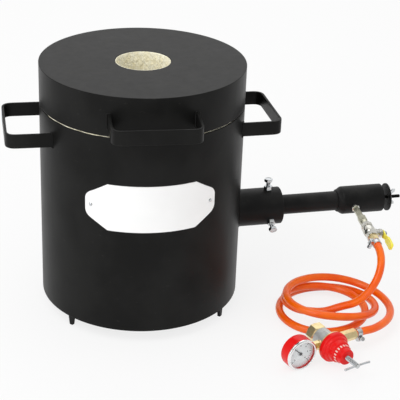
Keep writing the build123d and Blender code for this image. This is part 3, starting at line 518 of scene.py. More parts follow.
def gather(name: str, parts: Sequence[Thing]) -> Thing:
    """One object from several, which are removed.

    Args:
        name: the new object's name.
        parts: the objects to join.

    Returns:
        The object.
    """
    solid = bmesh.new()
    for part in parts:
        solid.from_mesh(part.data)
        bpy.data.objects.remove(part)
    return filled(name, bpy.data.meshes.new(name), solid)


def skin(name: str, points: Array, wrap_rows: bool = True) -> Thing:
    """A closed smooth mesh over a grid of points in millimetres.

    Args:
        name: the new object's name.
        points: rows x columns x 3; point (i, j) joins (i+1, j) and (i, j+1), and each row is a loop.
        wrap_rows: whether the last row joins the first.

    Returns:
        The object, at the origin.
    """
    rows, columns = points.shape[:2]
    index = np.arange(rows * columns).reshape(rows, columns)
    index = np.vstack((index, index[:1])) if wrap_rows else index
    index = np.hstack((index, index[:, :1]))
    corners = index[:-1, :-1], index[:-1, 1:], index[1:, 1:], index[1:, :-1]
    mesh = bpy.data.meshes.new(name)
    mesh.from_pydata((points.reshape(-1, 3) * MM).tolist(), [], np.stack(corners, -1).reshape(-1, 4).tolist())
    return settle(name, mesh)


def circle(points: int) -> Array:
    """Angles in radians, evenly round a circle."""
    return np.arange(points) * tau / points


def softened(corners: Sequence, radius: float | Sequence[float]) -> Array:
    """A closed outline with rounded corners and a held flat beside each.

    Corner C becomes C + (1-t)^2 a + t^2 b for t from 0 to 1, where a and b reach a radius along its two
    edges, or 0.4 of the edge if that is less.

    Args:
        corners: the outline's corners.
        radius: one radius, or one for each corner.

    Returns:
        The outline's points.
    """
    here = np.asarray(corners, float)
    radius = np.broadcast_to(np.asarray(radius, float), len(here))[:, None]
    arms = []
    for shift in (1, -1):
        edge = np.roll(here, shift, 0) - here
        size = np.linalg.norm(edge, axis=1, keepdims=True)
        arms.append((edge / size * np.minimum(radius, 0.4 * size))[:, None])
    t = np.linspace(0, 1, CORNER_STEPS + 1)[None, :, None]
    here = here[:, None]
    arc = here + arms[0] * (1 - t) ** 2 + arms[1] * t * t
    return np.concatenate((here + FLAT_REACH * arms[0], arc, here + FLAT_REACH * arms[1]), 1).reshape(-1, 2)


def turned(name: str, corners: Sequence, spot: Spot, soft: float = 0.5, around: int = 64,
           flats: float = 0.0) -> Thing:
    """A closed outline of (along, radius) turned about a spot's axis.

    Point = origin + along * s + r * (across * cos a + up * sin a). With flats, r is at most half of them over
    the cosine of the angle to the middle of the nearest flat, as on a chamfered nut.

    Args:
        name: the object's name.
        corners: the outline's corners; those on the axis stay sharp.
        spot: the axis.
        soft: the corners' radius.
        around: points round the axis, a multiple of 12 for a nut.
        flats: the distance across a nut's flats, or 0.

    Returns:
        The object.
    """
    here = np.asarray(corners, float)
    outline = softened(here, np.where(here[:, 1] > 1e-6, soft, 1e-7))
    angle = circle(around)
    radius = np.repeat(outline[:, 1:], around, 1)
    if flats:
        radius = np.minimum(radius, flats / 2 / np.cos(angle % (pi / 3) - pi / 6))
    return skin(name, spot.polar(radius, angle, outline[:, :1]))


def nut(name: str, spot: Spot, start: float, end: float, flats: float, bore: float) -> Thing:
    """A hexagon between two places, with both ends chamfered and a bore.

    Args:
        name: the object's name.
        spot: its axis.
        start: where it begins along the axis.
        end: where it ends.
        flats: the distance across its flats.
        bore: the bore's radius.

    Returns:
        The object.
    """
    tip, rim = flats * HEX_TIP, flats * HEX_RIM
    rise = (rim - tip) * HEX_SLOPE
    corners = [(start, tip), (start + rise, rim), (end - rise, rim), (end, tip), (end, bore), (start, bore)]
    return turned(name, corners, spot, 0.12, 48, flats)


def swept(name: str, path: Array, outline: Array, lift: Array, scale: Array | float = 1.0,
          loop: bool = False) -> Thing:
    """An outline (a, b) carried along a path.

    Point = path + a * side + b * lifted, where side is the path's way x lift and lifted is square to both.
    Open ends close to a point.

    Args:
        name: the object's name.
        path: points x 3.
        outline: points x 2, closed.
        lift: the outline's second way, one or for each point of the path.
        scale: one number, one for each point, or two for each.
        loop: whether the path is closed.

    Returns:
        The object.
    """
    way = np.roll(path, -1, 0) - np.roll(path, 1, 0) if loop else np.gradient(path, axis=0)
    way /= np.linalg.norm(way, axis=1, keepdims=True)
    lifted = np.broadcast_to(np.asarray(lift, float), path.shape)
    lifted = lifted - way * (lifted * way).sum(1, keepdims=True)
    lifted /= np.linalg.norm(lifted, axis=1, keepdims=True)
    side = np.cross(way, lifted)
    size = np.asarray(scale, float)
    size = np.broadcast_to(size.reshape(-1, 1) if size.ndim < 2 else size, (len(path), 2))[:, None]
    beside, above = outline[None, :, :1] * size[..., :1], outline[None, :, 1:] * size[..., 1:]
    points = path[:, None] + beside * side[:, None] + above * lifted[:, None]
    if not loop:
        ends = [np.broadcast_to(path[i], (1, len(outline), 3)) for i in (0, -1)]
        points = np.concatenate((ends[0], points, ends[1]))
    return skin(name, points, loop)


def ring(radius: float, around: int) -> Array:
    """A circle's points."""
    return radius * np.stack((np.cos(circle(around)), np.sin(circle(around))), 1)


def oblong(width: float, height: float, soft: float) -> Array:
    """A rounded rectangle's points about its middle."""
    x, y = width / 2, height / 2
    return softened(((-x, -y), (x, -y), (x, y), (-x, y)), soft)


def threaded(name: str, spot: Spot, start: float, end: float, radius: float, pitch: float) -> Thing:
    """A screw thread: radius less 0.6 pitch times the share of the way from crest to root.

    The share is one less twice the distance of s/pitch - a/2pi from its nearest half, and both ends taper.

    Args:
        name: the object's name.
        spot: the screw's axis.
        start: where the thread begins along it.
        end: where the thread ends.
        radius: half the thread's outer diameter.
        pitch: the way along for one turn.

    Returns:
        The object.
    """
    along = np.arange(start, end + 1e-9, pitch / 6)[:, None]
    angle = circle(THREAD_AROUND)[None]
    share = 1 - 2 * np.abs((along / pitch - angle / tau) % 1 - 0.5)
    ends = np.clip(np.minimum(along - start, end - along) / pitch, 0, 1)
    size = (radius - THREAD_DEPTH * pitch * share) * (ends * THREAD_TAPER + (1 - THREAD_TAPER))
    size = np.vstack((size[:1] * 0, size, size[:1] * 0))
    along = np.vstack((along[:1], along, along[-1:]))
    return skin(name, spot.polar(size, angle, along), False)


def ripple(points: Array, size: float, seed: int) -> Array:
    """Sum of 20 sine waves of random way and phase, about -1 to 1.

    Args:
        points: where it is wanted, in millimetres.
        size: the waves' usual length in millimetres.
        seed: the random seed.

    Returns:
        One value for each point.
    """
    waves = 20
    rng = np.random.default_rng(seed)
    ways = rng.normal(size=(waves, 3))
    ways *= (tau / size * rng.uniform(0.6, 1.6, waves) / np.linalg.norm(ways, axis=1))[:, None]
    return np.sin(points @ ways.T + rng.uniform(0, tau, waves)).sum(-1) / waves ** 0.5


def bead(name: str, path: Array, radius: float, loop: bool = True) -> Thing:
    """A weld bead along a path: a ring whose size swells with every laid drop.

    Args:
        name: the object's name.
        path: points x 3.
        radius: the ring's radius.
        loop: whether the path is closed.

    Returns:
        The object.
    """
    step = np.linalg.norm(np.roll(path, -1, 0) - path, axis=1)
    drop = np.abs(np.sin(np.cumsum(step) * pi / (radius * 1.7)))
    wobble = ripple(path, 9.0, 5) * 0.08
    leant = UPWARD + (0.01, 0.02, 0)
    return swept(name, path, ring(radius, 10), leant, 0.86 + 0.16 * drop + wobble, loop)


class Assembly:
    """A group of pieces. Nodes whose shape is right are listed in kept, each row with its finish."""

    kept: ClassVar[tuple] = ()

    def put(self, piece: Thing, finish: Finish, *nodes: str, body: Body = Body.FURNACE) -> Thing:
        """Give a new piece its finish and body, and hide the nodes that it stands for.

        Args:
            piece: the new object.
            finish: its finish.
            nodes: the nodes that it replaces.
            body: what it rides on.

        Returns:
            The piece.
        """
        piece.data.materials.clear()
        piece.data.materials.append(finish.material())
        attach(piece, body.value)
        if nodes:
            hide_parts(*nodes)
        LOG.info("%s: %s on %s", type(self).__name__, piece.name, body.value)
        return piece

    def dress(self) -> None:
        """Give the kept nodes their finishes."""
        for finish, *nodes in self.kept:
            for name in nodes:
                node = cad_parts[name]
                if not node.material_slots:
                    node.data.materials.append(finish.material())
                for holder in node.material_slots:
                    holder.material = finish.material()
                LOG.info("%s: %s keeps its shape", type(self).__name__, name)


@dataclass
class Studio:
    """Floor, light, backdrop and the camera at the photograph's place."""

    place: tuple = (-0.2120, -1.8899, 1.1015)
    heading: float = 9.37
    pitch: float = 25.92
    roll: float = 2.21
    lens: float = 114.03
    sensor: float = 36.0
    clip: tuple = (0.05, 60.0)
    floor_half: float = 8.0
    seen_floor: float = 0.8
    aim: tuple = (0.1, -0.05, 0.2)
    lamps: tuple = (("key", (-1.1, -0.9, 2.2), 1.5, 20.0), ("back", (0.4, 1.7, 1.9), 1.8, 7.0),
                    ("side", (-1.25, -1.7, 0.7), 0.7, 5.0))
    fill: float = 0.8
    mirror_span: tuple = (-0.75, 0.1)
    mirror_light: tuple = (0.4, 0.85)

    def build(self) -> None:
        """Make the camera, the floor, the lamps and the world."""
        bpy.context.scene.view_settings.view_transform = "Standard"
        self.build_camera()
        self.build_floor()
        self.build_lamps()
        self.build_world()

    def build_camera(self) -> None:
        """The camera looks along its heading, pitched down, with its right side rolled up."""
        turn, drop, roll = radians(self.heading), radians(self.pitch), radians(self.roll)
        look = Vector((sin(turn) * cos(drop), cos(turn) * cos(drop), -sin(drop)))
        level = Vector((cos(turn), -sin(turn), 0))
        right = level * cos(roll) + level.cross(look) * sin(roll)
        axes = Matrix((right, right.cross(look), -look)).transposed()
        camera = linked("camera", bpy.data.cameras.new("camera"))
        camera.data.lens, camera.data.sensor_width = self.lens, self.sensor
        camera.data.clip_start, camera.data.clip_end = self.clip
        camera.matrix_world = Matrix.Translation(self.place) @ axes.to_4x4()
        bpy.context.scene.camera = camera

    @staticmethod
    def rays(tree: Tree) -> list:
        """Three numbers, one or zero: seen by the camera, by a reflection, and through glass.

        Args:
            tree: the nodes.

        Returns:
            The numbers.
        """
        path = tree.add("ShaderNodeLightPath").outputs
        names = "Is Camera Ray", "Is Glossy Ray", "Is Transmission Ray"
        return [Number(tree, path[name]) for name in names]

    def build_floor(self) -> None:
        """A pale floor that the camera and reflections see nearly white, with the shadows kept."""
        side = self.floor_half
        mesh = bpy.data.meshes.new("floor")
        corners = [(-side, -side, 0), (side, -side, 0), (side, side, 0), (-side, side, 0)]
        mesh.from_pydata(corners, [], [(0, 1, 2, 3)])
        linked("floor", mesh)
        mesh.materials.append(bpy.data.materials.new("floor_white"))
        tree = Tree(mesh.materials[0])
        grey = tree.tint(tree.noise(0.4, 3.0), (0.84, 0.84, 0.84), (0.87, 0.87, 0.87))
        matt = tree.add("ShaderNodeBsdfDiffuse", {}, {"Color": grey}).outputs[0]
        glow = tree.add("ShaderNodeEmission", {}, {"Color": (1, 1, 1), "Strength": 1.0}).outputs[0]
        camera, glossy, glass = self.rays(tree)
        seen = tree.between(camera + glossy + glass, 0.0, 1.0)
        both = tree.add("ShaderNodeMixShader", {}, {0: seen * self.seen_floor, 1: matt, 2: glow})
        tree.add("ShaderNodeOutputMaterial", {}, {"Surface": both.outputs[0]})

    def build_lamps(self) -> None:
        """Three soft boxes: overhead in front on the left, overhead behind, and a low one on the left."""
        for name, place, size, watts in self.lamps:
            lamp = bpy.data.lights.new(name, "AREA")
            lamp.size, lamp.energy = size, watts
            holder = linked(name, lamp)
            holder.location = place
            way = Vector(self.aim) - Vector(place)
            holder.rotation_euler = way.to_track_quat("-Z", "Y").to_euler()

    def build_world(self) -> None:
        """White where it is seen, darker from behind the camera in reflections, and soft fill else."""
        world = bpy.data.worlds.new("studio")
        bpy.context.scene.world = world
        tree = Tree(world)
        way = tree.add("ShaderNodeTexCoord").outputs["Generated"]
        back = Number(tree, tree.add("ShaderNodeSeparateXYZ", {}, {0: way}).outputs[1])
        mirrored = tree.between(back, *self.mirror_span, *self.mirror_light)
        camera, glossy, glass = self.rays(tree)
        other = (1 - camera) * (1 - glossy) * (1 - glass)
        strength = camera + glass * (1 - camera) + glossy * mirrored + other * self.fill
        light = tree.add("ShaderNodeBackground", {}, {"Color": (1, 1, 1), "Strength": strength})
        tree.add("ShaderNodeOutputWorld", {}, {"Surface": light.outputs[0]})


@dataclass
class Hose(Assembly):
    """The gas hose: a lead from the valve to the floor, then loose loops, then the regulator.

    A lead point is x, y from the jet's foot and the share of the way up to the burner. A station is a
    bearing in degrees about the middle, a reach and a height.
    """

    radius: float = 6.5
    length: float = 1553.0
    lead: tuple = ((10.9, -172.4, 0.757), (2.9, -189.4, 0.609), (-11.6, -197.4, 0.424),
                   (-31.1, -192.9, 0.226), (-54.6, -181.4, 0.124), (-78.1, -175.4, 0.023))
    coil_start: tuple = (-98.6, -168.4, 25.0)
    middle: tuple = (-58.6, -138.4)
    stations: tuple = ((206.2, 58.0, 23.2), (162, 80, 21.0), (90, 62, 18.5), (0, 58, 12.5), (-90, 65, 8.0),
                       (-135, 80, 7.3), (-180, 86, 7.3), (-270, 78, 7.7), (-360, 76, 15.5), (-450, 66, 35.1),
                       (-540, 77, 37.0), (-630, 67, 34.0), (-720, 97, 19.5), (-795.1, 104.3, 27.0))
    step: float = 25.0
    lowest: float = 7.3
    end: float = 55.0

    def loops(self) -> Array:
        """The loops' points: reach and height are a smooth cubic of the bearing through the stations.

        Returns:
            Points x 3, one each 25 degrees.
        """
        turn, reach, height = np.array(self.stations).T
        turn = -turn
        here = np.arange(turn[0] + 12, turn[-1] - 8, self.step)
        span = np.clip(np.searchsorted(turn, here) - 1, 0, len(turn) - 2)
        gap = turn[span + 1] - turn[span]
        t = (here - turn[span]) / gap
        values = []
        for known in (reach, height):
            slope = np.gradient(known, turn)
            ends = known[span] * (1 + 2 * t) * (1 - t) ** 2 + known[span + 1] * t * t * (3 - 2 * t)
            bend = slope[span] * gap * t * (1 - t) ** 2 + slope[span + 1] * gap * t * t * (t - 1)
            values.append(ends + bend)
        far, bearing = values[0] / cos(radians(self.step / 2)), -np.radians(here)
        ways = np.stack((np.cos(bearing), np.sin(bearing)), 1)
        flat = GAS_FOOT[:2] + np.array(self.middle) + ways * far[:, None]
        return np.column_stack((flat, np.maximum(values[1], self.lowest)))

    def build(self) -> Thing:
        """One smooth NURBS spline through the lead's points and the loops'.

        Returns:
            The hose.
        """
        low = self.coil_start[2]
        lead = [GAS_FOOT + (x, y, low + share * (BURNER_HEIGHT - low)) for x, y, share in self.lead]
        last = PORT_SPOT.origin + PORT_DIR * self.end
        route = np.vstack((HOSE_EXIT, HOSE_EXIT + GAS_DIR * 20, lead, GAS_FOOT + self.coil_start, self.loops(),
                           last + PORT_DIR * 14, last)) * MM
        curve = bpy.data.curves.new("gas_hose", "CURVE")
        curve.dimensions = "3D"
        curve.bevel_depth, curve.bevel_resolution = self.radius * MM, 7
        curve.resolution_u, curve.use_fill_caps = 6, True
        spline = curve.splines.new("NURBS")
        spline.points.add(len(route) - 1)
        spline.points.foreach_set("co", np.column_stack((route, np.ones(len(route)))).ravel())
        spline.order_u = 3
        spline.use_endpoint_u = True
        return self.put(linked("gas_hose", curve), ORANGE, "hose_lead", "hose_coil")

    def declare(self, hose: Thing, on_it: Sequence[Thing]) -> None:
        """Turn the hose's exit point to metres; the result is not kept."""
        tuple(HOSE_EXIT * MM)


@dataclass
class Handle(Assembly):
    """A flat bar bent to a U and welded to the shell at both ends."""

    node: str
    turn: float
    height: float = 380.0
    body: Body = Body.FURNACE
    reach: float = 51.5
    foot: float = 149.6
    half: float = 66.5
    bend: float = 16.0
    thick: float = 4.0
    tall: float = 23.0
    weld: float = 1.5

    def build(self) -> None:
        """Sweep the bar along its U and lay a bead round each foot."""
        spot = Spot.aimed((0, 0, self.height), heading(self.turn), UPWARD)
        out, far, half, t = DRUM_RADIUS + self.reach, self.foot, self.half, np.linspace(0, 1, 9)[:, None]
        corner = [np.array((out, side * half)) for side in (-1, 1)]
        first = corner[0] + (1 - t) ** 2 * (-self.bend, 0) + t ** 2 * (0, self.bend)
        last = corner[1] + (1 - t) ** 2 * (0, -self.bend) + t ** 2 * (-self.bend, 0)
        flat = np.vstack(((far, -half), (far + 0.6, -half), first[:1] - (0.6, 0), first, first[-1:] + (0, 0.6),
                          last[:1] - (0, 0.6), last, last[-1:] - (0.6, 0), (far + 0.6, half), (far, half)))
        path = spot.at(0.0, flat[:, 1], flat[:, 0])
        bar = swept(self.node + "_bar", path, oblong(self.thick, self.tall, 0.9), UPWARD)
        self.put(bar, SATIN_BLACK, self.node, body=self.body)
        foot = oblong(self.thick + 1.6, self.tall + 1.6, 1.6)
        foot = np.vstack((foot, foot[:1]))
        t = np.linspace(0, len(foot) - 1, 90, endpoint=False)
        x, y = (np.interp(t, np.arange(len(foot)), foot[:, i]) for i in (0, 1))
        beads = []
        for side in (-1, 1):
            beyond = side * half + x
            seam = spot.at(y, beyond, np.sqrt(DRUM_RADIUS ** 2 - beyond ** 2) + 0.2)
            beads.append(bead("bead", seam, self.weld))
        self.put(gather(self.node + "_welds", beads), SATIN_BLACK, body=self.body)


@dataclass
class Drum(Assembly):
    """The steel drum with its lining, feet, plate and two side handles."""

    kept = ((SATIN_BLACK, "base_plate", "feet"), (WOOL, "body_wool", "floor_insulation"),
            (CEMENT, "hot_face_coating", "refractory_floor"), (PLATE_WHITE, "nameplate"),
            (ZINC, "nameplate_rivets"))
    foot: float = 20.0
    joint: float = 353.0
    wool_top: float = 354.3
    bore: float = 109.3
    seam_turn: float = 118.0
    # Painted highlight: bearings, widths and sizes where the pale wool lip bulges into the joint to show a bright
    # line
    highlight_bulges: tuple = ((222, 42, 1.0), (322, 15, 0.55))

    def build(self) -> None:
        """Make the wall, its seam, the wool's crown and the handles."""
        inner = DRUM_RADIUS - WALL
        corners = ((self.foot, inner), (self.foot, DRUM_RADIUS), (self.joint, DRUM_RADIUS), (self.joint, inner))
        self.put(turned("drum_wall", corners, DRUM_SPOT, 0.8, 240), SATIN_BLACK, "body_shell")
        height = np.arange(self.foot + 2, self.joint - 2, 1.1)[:, None]
        seam = heading(self.seam_turn) * (DRUM_RADIUS - 0.6) + height * UPWARD
        self.put(bead("drum_seam", seam + (0.01, 0, 0), 1.7, False), SATIN_BLACK)
        self.put(self.crown(), WOOL)
        Handle("body_handle_left", 182.0, 318.0, reach=56.0).build()
        Handle("body_handle_right", 4.3, 320.5).build()

    def crown(self) -> Thing:
        """The wool's matted top: a flat ring whose outer lip bulges over the wall at the front left, and a little
        at the front right, so that its pale colour shows in the joint as a painted highlight.

        Returns:
            The ring, with top and lip waved by sines.
        """
        angle = circle(360)
        # Painted highlight: the lip swells at these bearings so that pale wool fills the joint where a lit edge
        # shows
        front = sum(size * np.exp(-((np.degrees(angle) - at) / wide) ** 2) for at, wide, size in self.highlight_bulges)
        lip = 2.2 * front + 0.35 * np.sin(angle * 23 + 1) * (0.3 + front) + 0.2 * np.sin(angle * 61)
        outer = DRUM_RADIUS - WALL - 0.4 + lip
        inner = np.full_like(outer, self.bore + 0.2)
        shares = np.concatenate(((0.0,), np.linspace(0, 1, 50), (1.0, 1.0)))[:, None]
        reach = inner + (outer - inner) * shares
        reach[-2] += 0.25
        height = np.full_like(reach, self.wool_top)
        height[0], height[-1], height[-2] = self.joint + 0.15, self.joint + 0.12, self.joint + 0.6
        points = DRUM_SPOT.polar(reach, angle, height)
        points[1:-2, :, 2] += ripple(points[1:-2], 5.0, 3) * 0.16 + ripple(points[1:-2], 1.8, 4) * 0.08 - 0.1
        return skin("wool_crown", points)


@dataclass
class Lid(Assembly):
    """The lift-off lid: a band with a welded top, its blanket with the vent, and two handles."""

    low: float = 355.0
    top: float = 420.0
    vent: float = 44.5
    bore: float = 42.5
    blanket_low: float = 354.7
    bore_rows: int = 56
    under_rows: int = 60

    def build(self) -> None:
        """Make the steel cap, the blanket and the handles."""
        radius, inner, under = DRUM_RADIUS, DRUM_RADIUS - WALL, self.top - WALL
        corners = ((self.low, inner), (self.low, radius), (self.top, radius), (self.top, self.vent),
                   (under, self.vent), (under, inner))
        cap = turned("lid_cap", corners, DRUM_SPOT, 0.8, 240)
        self.put(cap, SATIN_BLACK, "lid_band", "lid_top_plate", body=Body.LID)
        self.put(self.blanket(), WOOL, "lid_wool", body=Body.LID)
        Handle("lid_handle_front", -90.0, body=Body.LID).build()
        Handle("lid_handle_rear", 90.0, body=Body.LID).build()

    def blanket(self) -> Thing:
        """The blanket's ring: its bore and underside are waved by sines, its hidden sides are plain.

        Returns:
            The ring.
        """
        angle, rows, below = circle(300), self.bore_rows, self.under_rows
        high, outer, lip = self.top - WALL - 0.1, DRUM_RADIUS - WALL - 0.1, self.vent - 0.25
        rise = np.linspace(self.blanket_low + 0.5, self.top - 0.7, rows)
        spread = np.linspace(outer - 0.1, self.bore + 0.6, below)
        reach = np.concatenate((np.full(rows, self.bore + 0.3), (self.bore + 0.9, lip - 0.4, lip, outer), spread))
        edges = (self.top - 0.1, self.top - 0.3, high, high)
        height = np.concatenate((rise, edges, np.full(below, self.blanket_low)))
        points = DRUM_SPOT.polar(reach[:, None], angle, height[:, None])
        way = np.stack((np.cos(angle), np.sin(angle), 0 * angle), 1)[None]
        bore, low = points[:rows], points[-below:]
        points[:rows] = bore + way * (ripple(bore, 7.0, 7) * 0.35 + ripple(bore, 2.4, 8) * 0.16)[..., None]
        points[-below:, :, 2] = low[..., 2] + 0.12 + ripple(low, 6.0, 9) * 0.1
        return skin("lid_blanket", points)


@dataclass
class Burner(Assembly):
    """The holder tube with its clamp screws, the venturi burner and its choke."""

    kept = ((BURNER_BLACK, "mixing_tube", "flame_flare"), (ZINC, "choke_wing_nut"))
    holder: float = 31.75
    tube: float = 16.85
    bell: float = 24.15
    screws_at: float = 220.5
    bridge_at: float = 417.0

    def build(self) -> None:
        """Make the holder, screws, bell, rod and choke plate."""
        rim, bell = self.holder - 3, self.bell
        corners = ((152, rim), (152, self.holder), (242, self.holder), (242, rim))
        self.put(turned("holder_tube", corners, BURNER_SPOT, 1.3, 96), BURNER_BLACK, "burner_holder")
        angle = circle(160)
        along = np.sqrt(DRUM_RADIUS ** 2 - (self.holder * np.cos(angle)) ** 2) + 0.8
        saddle = BURNER_SPOT.polar(self.holder + 0.6, angle, along)
        self.put(bead("holder_weld", saddle, 2.1), SATIN_BLACK)
        self.screws()
        corners = ((344.5, self.tube), (344.5, 18.0), (345.3, 19.3), (347.4, 19.8), (349.6, 21.0), (352.2, 22.9),
                   (355, bell), (427, bell), (427, bell - 3), (357.5, bell - 3), (352, self.tube))
        self.put(turned("bell_reducer", corners, BURNER_SPOT, 1.2, 96), BURNER_BLACK, "burner_bell")
        mouth = Spot.aimed(BURNER_SPOT.origin + BURNER_DIR * self.bridge_at, BURNER_SIDE, BURNER_DIR)
        bridge = swept("bridge", mouth.at(0.0, 0.0, np.linspace(-21.4, 21.4, 5)), oblong(10, 4, 0.7), BURNER_DIR)
        rod = threaded("rod", BURNER_SPOT, 413.0, 463.0, 3.0, 1.0)
        self.put(gather("choke_bridge_rod", (bridge, rod)), BURNER_BLACK, "choke_rod")
        plate = ((436.5, 3.05), (436.5, 24.0), (439.5, 24.0), (439.5, 3.05))
        disc = turned("choke_disc", plate, BURNER_SPOT, 0.5, 96)
        self.put(disc, BURNER_BLACK, "choke_plate", body=Body.CHOKE)

    def screws(self) -> None:
        """Three welded nuts and three bolts, with real threads and chamfered heads."""
        nuts = []
        bodies = (Body.SCREW_TOP, Body.SCREW_FRONT, Body.SCREW_BACK)
        outline = ((46, 0), (46, 6.3), (46.8, 7.4), (50.2, 7.4), (51.3, 6.1), (51.3, 4.4), (50.9, 4.2), (50.9, 0))
        for number, (turn, body) in enumerate(zip((90.0, -30.0, 210.0), bodies), 1):
            way = BURNER_SIDE * cos(radians(turn)) + UPWARD * sin(radians(turn))
            spot = Spot.aimed(BURNER_SPOT.origin + BURNER_DIR * self.screws_at, way, BURNER_DIR)
            nuts.append(nut("nut", spot, self.holder - 0.6, self.holder + 6.3, 13.0, 4.05))
            head = turned("head", outline, spot, 0.15, 48, 13.0)
            shank = threaded("shank", spot, self.tube + 0.4, 46.2, 4.0, 1.25)
            self.put(gather(f"clamp_bolt_{number}", (head, shank)), ZINC, f"holder_screw_{number}", body=body)
        self.put(gather("clamp_nuts", nuts), ZINC, "holder_nuts")


@dataclass
class GasLine(Assembly):
    """The brass jet line, the ball valve with its lever, and the hose tail.

    Sizes named flats are across a hexagon's flats, and bores are radii.
    """

    kept = ((PALE_BRASS, "jet_tube"), (NICKEL, "valve_ball", "valve_stem"))
    lock_flats: float = 12.4
    jet_flats: float = 9.4
    nipple_flats: float = 13.0
    valve_flats: float = 18.0
    gland_flats: float = 13.0
    lever_flats: float = 9.2
    tail_flats: float = 14.0
    jet_bore: float = 2.9
    valve_bore: float = 3.5
    tail_bore: float = 1.6

    def build(self) -> None:
        """Make the hexagons, the valve's casting and the lever."""
        bore, tail = self.valve_bore, self.tail_bore
        self.put(nut("lock_nut", GAS_SPOT, 24.6, 30.0, self.lock_flats, 4.9), LOCK_NUT, "jet_lock_nut")
        self.put(nut("jet_hex", GAS_SPOT, 30.0, 57.0, self.jet_flats, self.jet_bore), PALE_BRASS, "jet_holder")
        neck = turned("neck", ((71.5, 3), (71.5, 6.6), (82, 6.6), (82, 3)), GAS_SPOT, 0.3, 48)
        parts = nut("hex", GAS_SPOT, 57.0, 72.0, self.nipple_flats, self.jet_bore), neck
        self.put(gather("nipple_hex", parts), PALE_BRASS, "reducing_nipple")
        barrel = ((90.2, bore), (90.2, 8.6), (91.6, 8.9), (94, 10.1), (97, 10.5), (103, 10.5), (106, 10.1),
                  (108.4, 8.9), (109.8, 8.6), (109.8, bore))
        bonnet = ((4, 3.1), (4, 6.4), (14, 6.0), (17, 6.0), (17, 3.1))
        parts = (nut("a", GAS_SPOT, 82.0, 91.2, self.valve_flats, bore),
                 nut("b", GAS_SPOT, 108.8, 117.0, self.valve_flats, bore),
                 turned("c", barrel, GAS_SPOT, 0.6, 64), turned("d", bonnet, STEM_SPOT, 0.6, 48))
        self.put(gather("valve_casting", parts), NICKEL, "valve_body")
        self.put(nut("gland_hex", STEM_SPOT, 17.0, 23.0, self.gland_flats, 3.05), NICKEL, "valve_gland_nut")
        lever_nut = nut("lever_hex", STEM_SPOT, 27.6, 31.2, self.lever_flats, 2.9)
        self.put(lever_nut, ZINC, "lever_nut", body=Body.LEVER)
        self.put(self.lever(), LEVER_YELLOW, "valve_lever", body=Body.LEVER)
        end = turned("tail", ((129, tail), (129, 3.1), (140, 3.1), (140, tail)), GAS_SPOT, 0.3, 32)
        parts = nut("hex", GAS_SPOT, 117.0, 129.4, self.tail_flats, tail), end
        self.put(gather("hose_tail", parts), BRASS, "hose_barb")

    def lever(self) -> Thing:
        """A dipped strap that swells into a grip: width and thickness change along its length.

        Returns:
            The lever, 50 mm long, with both tips rounded by a circle's edge.
        """
        x = np.sort(np.concatenate((np.linspace(-7, 43, 34), (-6.95, -6.8, -6.5, 42.95, 42.8, 42.5))))

        def ease(start: float, end: float) -> Array:
            """A smooth step along the lever."""
            t = np.clip((x - start) / (end - start), 0, 1)
            return t * t * (3 - 2 * t)

        nearest = np.minimum(x + 7, 43 - x)
        tip = np.sqrt(np.clip(1 - (np.clip(5 - nearest, 0, 5) / 5) ** 2, 0.0004, 1))
        width = tip * (1 - 0.22 * ease(5, 10) + 0.34 * ease(13, 19))
        thick = np.clip(tip * 1.6, 0, 1) * (1 + 0.55 * ease(13, 17))
        path = STEM_SPOT.at(x, 0.0, 25.5 + 1.9 * ease(6, 14) - 1.6 * ease(24, 43))
        return swept("lever_grip", path, oblong(11, 3, 1.1), STEM_DIR, np.stack((width, thick), 1))


@dataclass
class Clamps(Assembly):
    """The two screw clamps on the hose's ends."""

    inner: float = 6.52
    outer: float = 7.35
    bead: float = 7.75
    width: float = 9.0
    screw: float = 2.5
    screw_at: float = 10.6
    head_flats: float = 7.0

    def build(self) -> tuple:
        """Make both bands with their housings, and both screws.

        Returns:
            The bands and the screws.
        """
        low = REG_DIR * 0.45 - UPWARD * 0.893
        spots = (Spot.aimed(GAS_SPOT.origin + GAS_DIR * 131.5, GAS_DIR, -STEM_DIR),
                 Spot.aimed(PORT_SPOT.origin + PORT_DIR * 65.5, -PORT_DIR, low))
        narrowed = np.array((0.88, 1, 1, 0.88))
        band = (0, self.inner), (0, self.outer), (self.width, self.outer), (self.width, self.inner)
        head = ((5.8, 0), (5.8, 3.8), (6.5, 4.0), (9.1, 4.0), (10.2, 3.4), (10.2, 1.6), (9.3, 1.4), (9.3, 0))
        bands, screws = [], []
        for spot in spots:
            bands.append(turned("band", band, spot, 0.3, 64))
            for z in (0.2, self.width - 1.2):
                edge = ((z, 7.2), (z, self.bead), (z + 1, self.bead), (z + 1, 7.2))
                bands.append(turned("edge", edge, spot, 0.25, 64))
            path = spot.at(self.screw_at, 0.0, np.array((0.1, 0.7, 8.3, 8.9)))
            bands.append(swept("house", path, oblong(11, 7.4, 2.6), spot.across, narrowed))
            bolt = Spot.aimed(spot.at(self.screw_at, 0.0, self.width / 2), spot.up, spot.across)
            screws += [turned("head", head, bolt, 0.15, 48, self.head_flats),
                       threaded("worm", bolt, -7.4, 6.4, self.screw, 1.3)]
        return (self.put(gather("clamp_straps", bands), ZINC, "clamp_bands"),
                self.put(gather("clamp_worms", screws), ZINC, "clamp_screws"))


